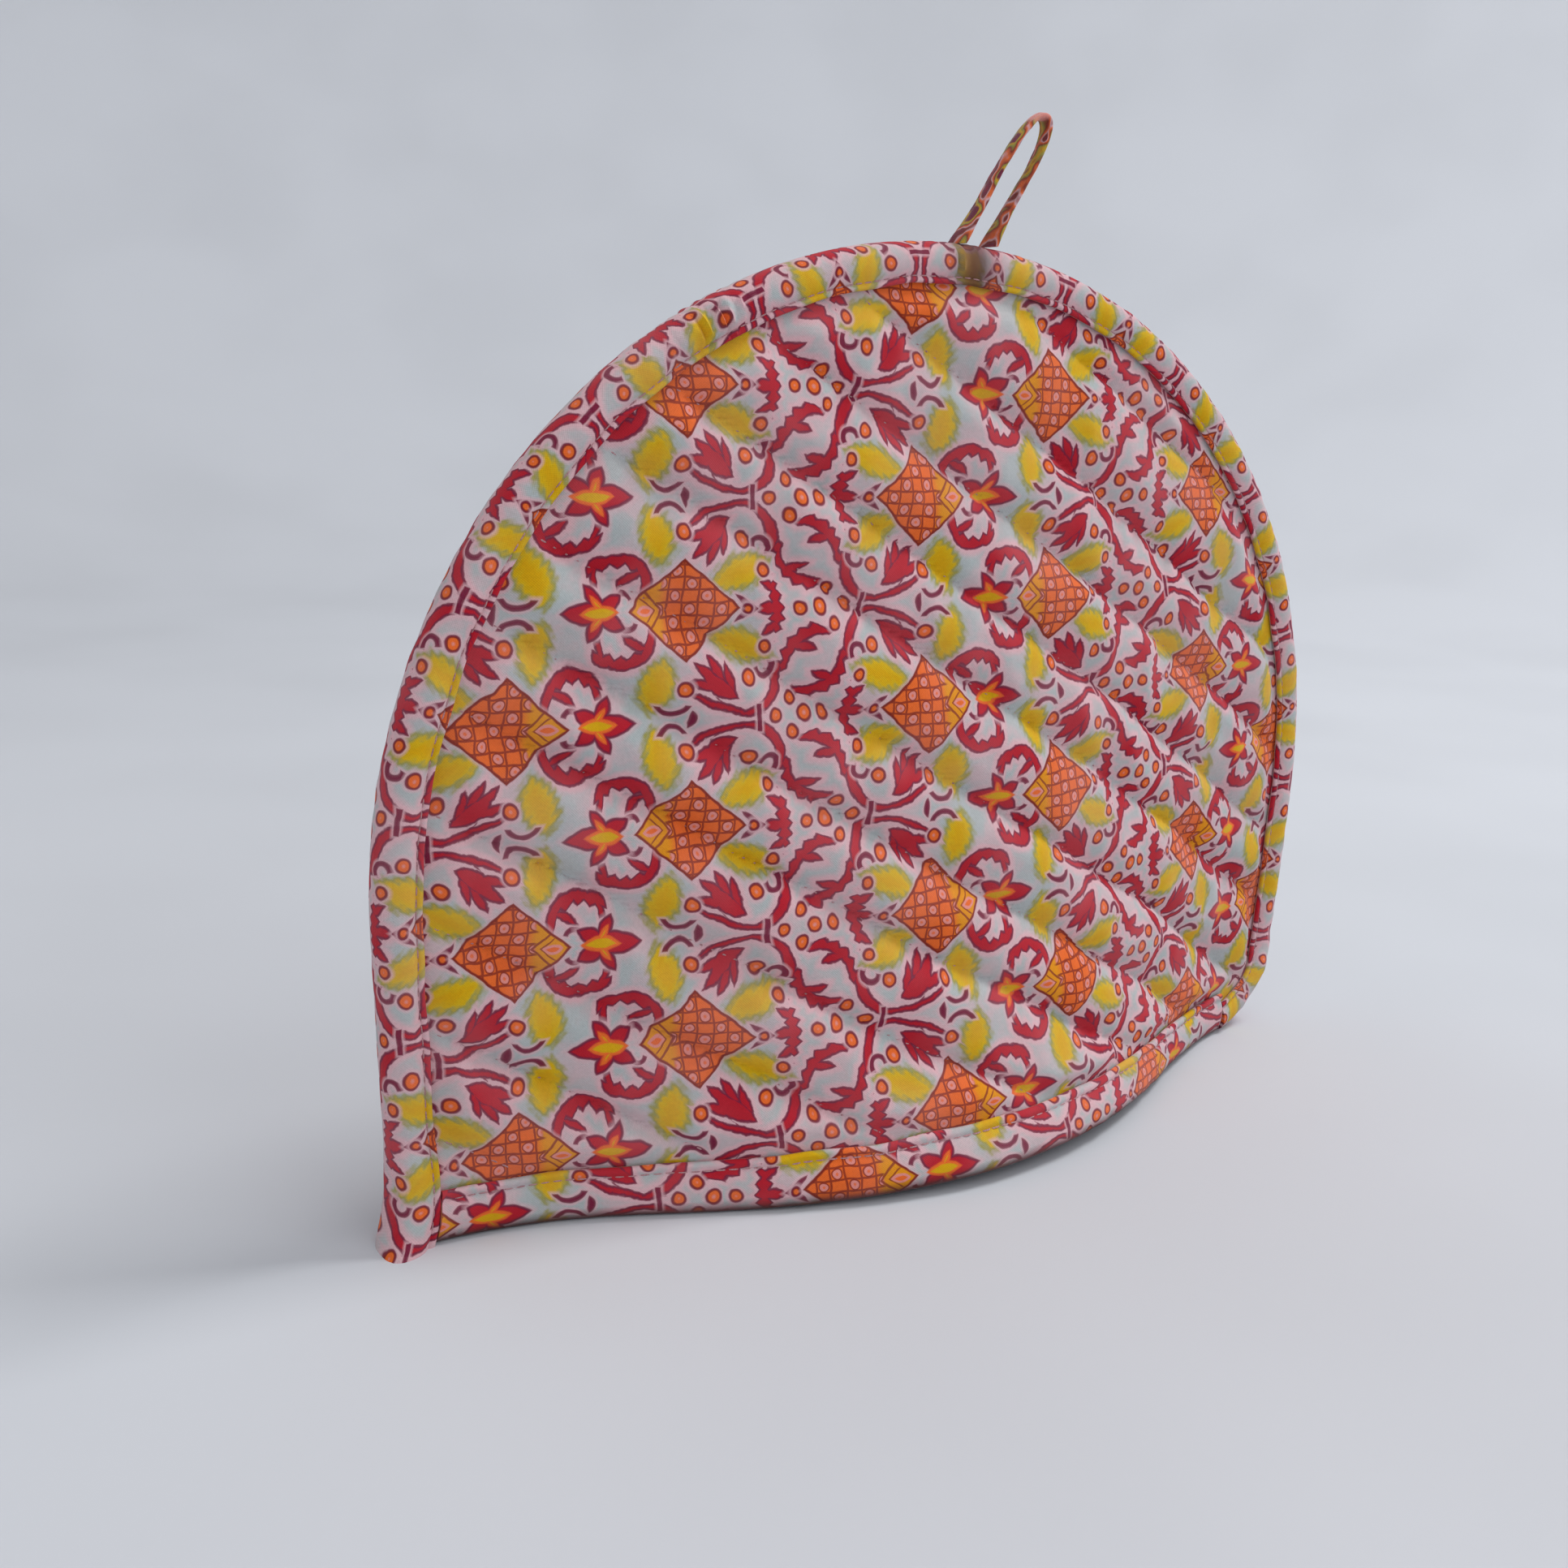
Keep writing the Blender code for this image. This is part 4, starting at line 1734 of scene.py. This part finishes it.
@dataclass
class HangingLoop:
    """The soft folded strap that stands on the arch and leans to the right.

    Args:
        form: The cut and the bow.
        name: The piece's name.
        node: The solid that it stands for.
        foot_x: The middle of its two feet.
        foot_split: Distance between them.
        foot_clear: How far they stand clear of the cloth.
        reach: How far its top leans to the right.
        nod: How far its top leans forward.
        rise: Its height.
        belly: How far its sides bow.
        width: Width of the strap.
        thickness: Thickness of the strap.
        crease: Depth of the creases beside its folded edges.
        crease_place: How far from its middle they run.
        foot_spread: How much wider it is at its feet.
        twist: How far it twists.
        steps: Steps along it.
        sides: Steps round it.
    """

    form: CosyForm
    name: str = "hanging_loop_strap"
    node: str = "hanging_loop"
    foot_x: float = 0.0076
    foot_split: float = 0.0108
    foot_clear: float = 0.0003
    reach: float = 0.0188
    nod: float = 0.0034
    rise: float = 0.0330
    belly: float = 0.0038
    width: float = 0.0048
    thickness: float = 0.0019
    crease: float = 0.00035
    crease_place: float = 0.0013
    foot_spread: float = 0.55
    twist: float = math.radians(10)
    steps: int = 96
    sides: int = 20

    def centre(self, ratio: float) -> Vector:
        """The middle of the strap, from the left foot over the top to the right one."""
        turn = math.pi * ratio
        climb = math.sin(turn) ** 0.9 if 0.0 < ratio < 1.0 else 0.0
        lean = math.atan2(self.reach, self.rise)
        feet = -(self.foot_split / 2) * math.cos(turn) * (1 - math.sin(turn))
        belly = -self.belly * math.sin(2 * turn) * max(math.sin(turn), 0.0) ** 0.5
        x = self.foot_x + feet + self.reach * climb + belly * math.cos(lean)
        z = self.form.height + self.foot_clear + self.rise * climb - belly * math.sin(lean)
        return Vector((x, -self.nod * climb, z))

    def sideways(self, ratio: float) -> Vector:
        """The way across the strap's thickness, which is level at its feet."""
        run = self.centre(min(ratio + 0.01, 1.0)) - self.centre(max(ratio - 0.01, 0.0))
        if ratio in (0.0, 1.0):
            return Vector((math.copysign(1.0, run.z), 0.0, 0.0))
        return Vector((run.z, 0.0, -run.x)).normalized()

    def build(self) -> Piece:
        """Rolls a grid into the strap, with its folded edges and its creases.

        Returns:
            The shaped piece.
        """
        made = Cutting.grid(self.name, self.steps, self.sides)
        places = []
        lengths = [0.0]
        for step in range(self.steps):
            run = self.centre((step + 1) / self.steps) - self.centre(step / self.steps)
            lengths.append(lengths[-1] + run.length)
        for vertex in made.data.vertices:
            step = round((vertex.co.x + 0.5) * self.steps)
            ratio, length = step / self.steps, lengths[step]
            turn = 2 * math.pi * (vertex.co.y + 0.5)
            twist = self.twist * math.sin(2 * math.pi * ratio)
            squared = math.copysign(abs(math.sin(turn)) ** 0.7, math.sin(turn))
            near_foot = max(1 - min(ratio, 1 - ratio) / 0.10, 0.0) ** 1.5
            flat = self.width / 2 * (1 + self.foot_spread * near_foot) * math.cos(turn)
            thick = self.thickness / 2 * squared
            thick *= 1 + 0.35 * ripple(length / 0.004, flat / 0.004, 83.0)
            sunk = hump(abs(flat) - self.crease_place, 0.0004)
            thick -= math.copysign(self.crease, squared) * sunk
            depth = flat * math.cos(twist) - thick * math.sin(twist)
            offset = flat * math.sin(twist) + thick * math.cos(twist)
            places.append((length - lengths[-1] / 2, self.width * turn / math.pi, 0.0))
            across = self.sideways(ratio) * offset + Vector((0.0, depth, 0.0))
            vertex.co = self.centre(ratio) + across
        Cutting.finish(made, places, 60)
        return made

    def dress(self, made: Piece, cloth: Finish) -> Piece:
        """Puts the print on the strap."""
        Cutting.dress(made, self.node, "loop_cotton", cloth)
        return made


@dataclass
class Stitching:
    """Rows of lockstitch along the bindings and down the quilted channels.

    Args:
        form: The cut and the bow.
        pitch: Distance from stitch to stitch.
        length: Length of a stitch between its holes.
        thread: Half the thickness of the thread.
        dip: How far a stitch goes down into its holes.
        trimmed: How far in from the sides and the arch the quilting is sewn.
        trimmed_hem: How far up from the hem it is.
        probe: Distance between the places tried along a line.
        probes: How many are tried to each side.
        least: How many have to lie inside.
    """

    form: CosyForm
    pitch: float = 0.0031
    length: float = 0.0027
    thread: float = 0.00021
    dip: float = 0.00042
    trimmed: float = 0.0124
    trimmed_hem: float = 0.0148
    probe: float = 0.0005
    probes: int = 400
    least: int = 30
    rows: list[Piece] = field(default_factory=list, init=False)

    def stitch(self) -> Piece:
        """Models one stitch, which rises from one hole and goes down in the next.

        Returns:
            The stitch, lying along X from its first hole.
        """
        bpy.ops.object.select_all(action="DESELECT")
        bpy.ops.mesh.primitive_cylinder_add(
            vertices=6, radius=self.thread, depth=self.length, location=(0, 0, 0)
        )
        made = bpy.context.object
        with Cutting.editing(made):
            for share in (-0.36, -0.15, 0.15, 0.36):
                bpy.ops.mesh.select_all(action="SELECT")
                bpy.ops.mesh.bisect(plane_co=(0, 0, share * self.length), plane_no=(0, 0, 1))
            bpy.ops.mesh.select_all(action="SELECT")
            bpy.ops.transform.rotate(value=math.pi / 2, orient_axis="Y", center_override=(0, 0, 0))
            bpy.ops.transform.translate(value=(self.length / 2, 0.0, 0.0))
        for vertex in made.data.vertices:
            x, y, z = vertex.co
            share = 2 * x / self.length - 1
            plump = 1 - 0.35 * share**4
            vertex.co = (x, y * plump, z * plump - self.dip * share**4)
        return made

    def row(self, length: float, place: Callable[[float, float, float], Vector]) -> None:
        """Repeats the stitch in a row and lays the row where it is sewn.

        Args:
            length: Length of the row.
            place: Gives the point at a run, a distance to the side and a rise.
        """
        made = self.stitch()
        repeat = made.modifiers.new("repeat", "ARRAY")
        repeat.count = max(int(length / self.pitch), 1)
        repeat.use_relative_offset = False
        repeat.use_constant_offset = True
        repeat.constant_offset_displace = (self.pitch, 0.0, 0.0)
        Cutting.alone(made)
        bpy.ops.object.modifier_apply(modifier=repeat.name)
        for vertex in made.data.vertices:
            vertex.co = place(*vertex.co)
        self.rows.append(made)

    def quilt(self, quilting: Quilting, side: Side, layer: Layer) -> None:
        """Sews the channels of one face of a panel.

        Args:
            quilting: The channels.
            side: Front or back.
            layer: The printed face or the lining.
        """
        form = self.form
        face, out = (quilting.outer, 1.0) if layer is Layer.PRINT else (quilting.inner, -1.0)
        for line in quilting.lines:
            inside = []
            for number in range(-self.probes, self.probes + 1):
                along, height = quilting.spot(number * self.probe, line)
                if form.edge_distance(along, height) > self.trimmed and height > self.trimmed_hem:
                    inside.append(number * self.probe)
            if len(inside) < self.least:
                continue
            start = inside[0]

            def place(
                run: float, sideways: float, rise: float, start: float = start, line: float = line
            ) -> Vector:
                """The point of the row, lifted just clear of the cloth."""
                along, height = quilting.spot(start + run, line)
                along += sideways * math.sin(quilting.angle)
                height += sideways * math.cos(quilting.angle)
                outward = face(form, along, height) + out * CLEAR + out * rise
                return form.place(along, height, outward, side)

            self.row(inside[-1] - start, place)

    def finish(self, name: str, thread: Finish, slot: str) -> Piece:
        """Joins the rows sewn so far into one piece and dresses it.

        Args:
            name: The piece's name.
            thread: The thread's finish.
            slot: The slot of the cloth that it holds; not used.

        Returns:
            The finished piece.
        """
        made = self.rows[0]
        Cutting.alone(made)
        for row in self.rows[1:]:
            row.select_set(True)
        if len(self.rows) > 1:
            bpy.ops.object.join()
        self.rows = []
        made.name = made.data.name = name
        with Cutting.editing(made):
            bpy.ops.mesh.normals_make_consistent(inside=False)
        Cutting.smooth(made, 60)
        made.data.materials.append(thread)
        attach(made, "root")
        return made


@dataclass
class Studio:
    """The plain floor, the soft light and the camera.

    Args:
        floor_radius: Half the width of the floor.
        flat_radius: How far the floor is flat.
        floor_cuts: Cuts across the floor each way.
        sky: How strong the sky is.
        camera_place: Where the camera stands.
        heading: How far it looks to the right of straight back.
        pitch: How far it looks up.
        roll: How far it leans.
        focal_pixels: Its focal length, in pixels of the picture.
        frame_pixels: Width of the picture in pixels.
        sensor: Width of its sensor in millimetres.
    """

    floor_radius: float = 2.2
    flat_radius: float = 1.0
    floor_cuts: int = 63
    sky: float = 0.48
    camera_place: tuple[float, float, float] = (-0.2875, -0.3425, 0.2031)
    heading: float = math.radians(35.22)
    pitch: float = math.radians(-13.62)
    roll: float = math.radians(2.25)
    focal_pixels: float = 2027.0
    frame_pixels: float = 1932.0
    sensor: float = 36.0

    def build_floor(self) -> Piece:
        """Shapes a floor that curves up into a wall all round.

        Returns:
            The floor.
        """
        made = Cutting.grid("studio_floor", 1, 1, 2 * self.floor_radius, 2 * self.floor_radius)
        with Cutting.editing(made):
            bpy.ops.mesh.subdivide(number_cuts=self.floor_cuts)
        for vertex in made.data.vertices:
            out = math.hypot(vertex.co.x, vertex.co.y)
            risen = 1.1 * soft_step(out, self.flat_radius, 2.6)
            vertex.co.z = risen * max(out - self.flat_radius, 0.0)
        Cutting.smooth(made, 80)
        made.data.materials.append(PaleFloor("pale_floor").make())
        made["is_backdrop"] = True
        return made

    def add_lights(self) -> None:
        """Lights the cosy softly from the upper right, with a pale sky all round."""
        world = bpy.data.worlds.new("studio_sky")
        bpy.context.scene.world = world
        world.use_nodes = True
        sky = world.node_tree.nodes["Background"]
        sky.inputs["Color"].default_value = (0.98, 0.985, 1.0, 1.0)
        sky.inputs["Strength"].default_value = self.sky
        self.add_lamp("key_light", (1.40, -0.25, 2.1), 0.7, 30.0)
        self.add_lamp("window_light", (0.6, -1.7, 1.6), 1.6, 10.0)
        self.add_lamp("fill_light", (-1.6, -0.6, 1.2), 1.6, 4.5)

    def add_lamp(
        self, name: str, place: tuple[float, float, float], size: float, power: float
    ) -> None:
        """Adds one soft lamp that faces the cosy.

        Args:
            name: The lamp's name.
            place: Where it hangs.
            size: Its width.
            power: Its power in watts.
        """
        bpy.ops.object.select_all(action="DESELECT")
        bpy.ops.object.light_add(type="AREA", location=place)
        lamp = bpy.context.object
        lamp.name = name
        lamp.data.size = size
        lamp.data.energy = power
        aim = Vector((0.0, 0.0, 0.12)) - Vector(place)
        lamp.rotation_euler = aim.to_track_quat("-Z", "Y").to_euler()

    def add_camera(self) -> None:
        """Sets the camera at the height and angle of a person seated before the cosy."""
        bpy.ops.object.select_all(action="DESELECT")
        bpy.ops.object.camera_add(location=self.camera_place)
        camera = bpy.context.object
        camera.name = "camera"
        turn = Matrix.Rotation(-self.heading, 3, "Z")
        turn = turn @ Matrix.Rotation(math.pi / 2 + self.pitch, 3, "X")
        camera.rotation_euler = (turn @ Matrix.Rotation(self.roll, 3, "Z")).to_euler()
        camera.data.sensor_fit = "HORIZONTAL"
        camera.data.sensor_width = self.sensor
        camera.data.lens = self.sensor * self.focal_pixels / self.frame_pixels
        camera.data.clip_start = 0.01
        bpy.context.scene.camera = camera
        bpy.context.scene.view_settings.view_transform = "Standard"


def report(made: Piece) -> None:
    """Logs a piece's size in millimetres and its number of faces."""
    sizes = " x ".join(f"{size * 1000:.0f}" for size in made.dimensions)
    log.info("%s: %s mm, %d faces", made.name, sizes, len(made.data.polygons))


def write_sizes() -> None:
    """Works out the box of the solids and the box of the dressed cosy."""
    boxes = {"solids": solid_box, "dressed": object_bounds()}
    for name, box in boxes.items():
        boxes[name] = [[float(part) for part in corner] for corner in box]


def main() -> None:
    """Builds the studio and then the cosy, piece by piece."""
    logging.basicConfig(level=logging.INFO, format="%(message)s")
    studio = Studio()
    studio.add_camera()
    studio.add_lights()
    studio.build_floor()

    form = CosyForm()
    print_cloth = PrintedCotton("printed_cotton").make()
    lining = PlainCotton("lining_cotton").make()
    thread = SewingThread("sewing_thread").make()
    stitching = Stitching(form)

    for side, seed, shift in ((Side.FRONT, 0.0, (0.0, 0.0)), (Side.BACK, 100.0, (0.021, 0.013))):
        name = side.name.lower()
        names = (f"quilted_panel_{name}", f"panel_{name}")
        panel = QuiltedPanel(*names, side, form, Quilting(seed=seed), print_shift=shift)
        report(panel.dress(panel.build(), print_cloth, lining))
        for layer in Layer:
            stitching.quilt(panel.quilting, side, layer)
        report(stitching.finish(f"quilting_stitches_{name}", thread, "printed_cotton"))
        names = (f"hem_strip_{name}", f"hem_binding_{name}")
        hem = HemBinding(form, *names, side=side, seed=seed, print_shift=(0.031, 0.1204))
        report(hem.dress(hem.build(), print_cloth))
        hem.sew(stitching)
        report(stitching.finish(f"hem_stitches_{name}", thread, "binding_cotton"))

    binding = EdgeBinding(form)
    report(binding.dress(binding.build(), print_cloth))
    binding.sew(stitching)
    report(stitching.finish("edge_stitches", thread, "binding_cotton"))

    loop = HangingLoop(form)
    report(loop.dress(loop.build(), StrapCotton("strap_cotton").make()))

    write_sizes()


if __name__ == "__main__":
    main()
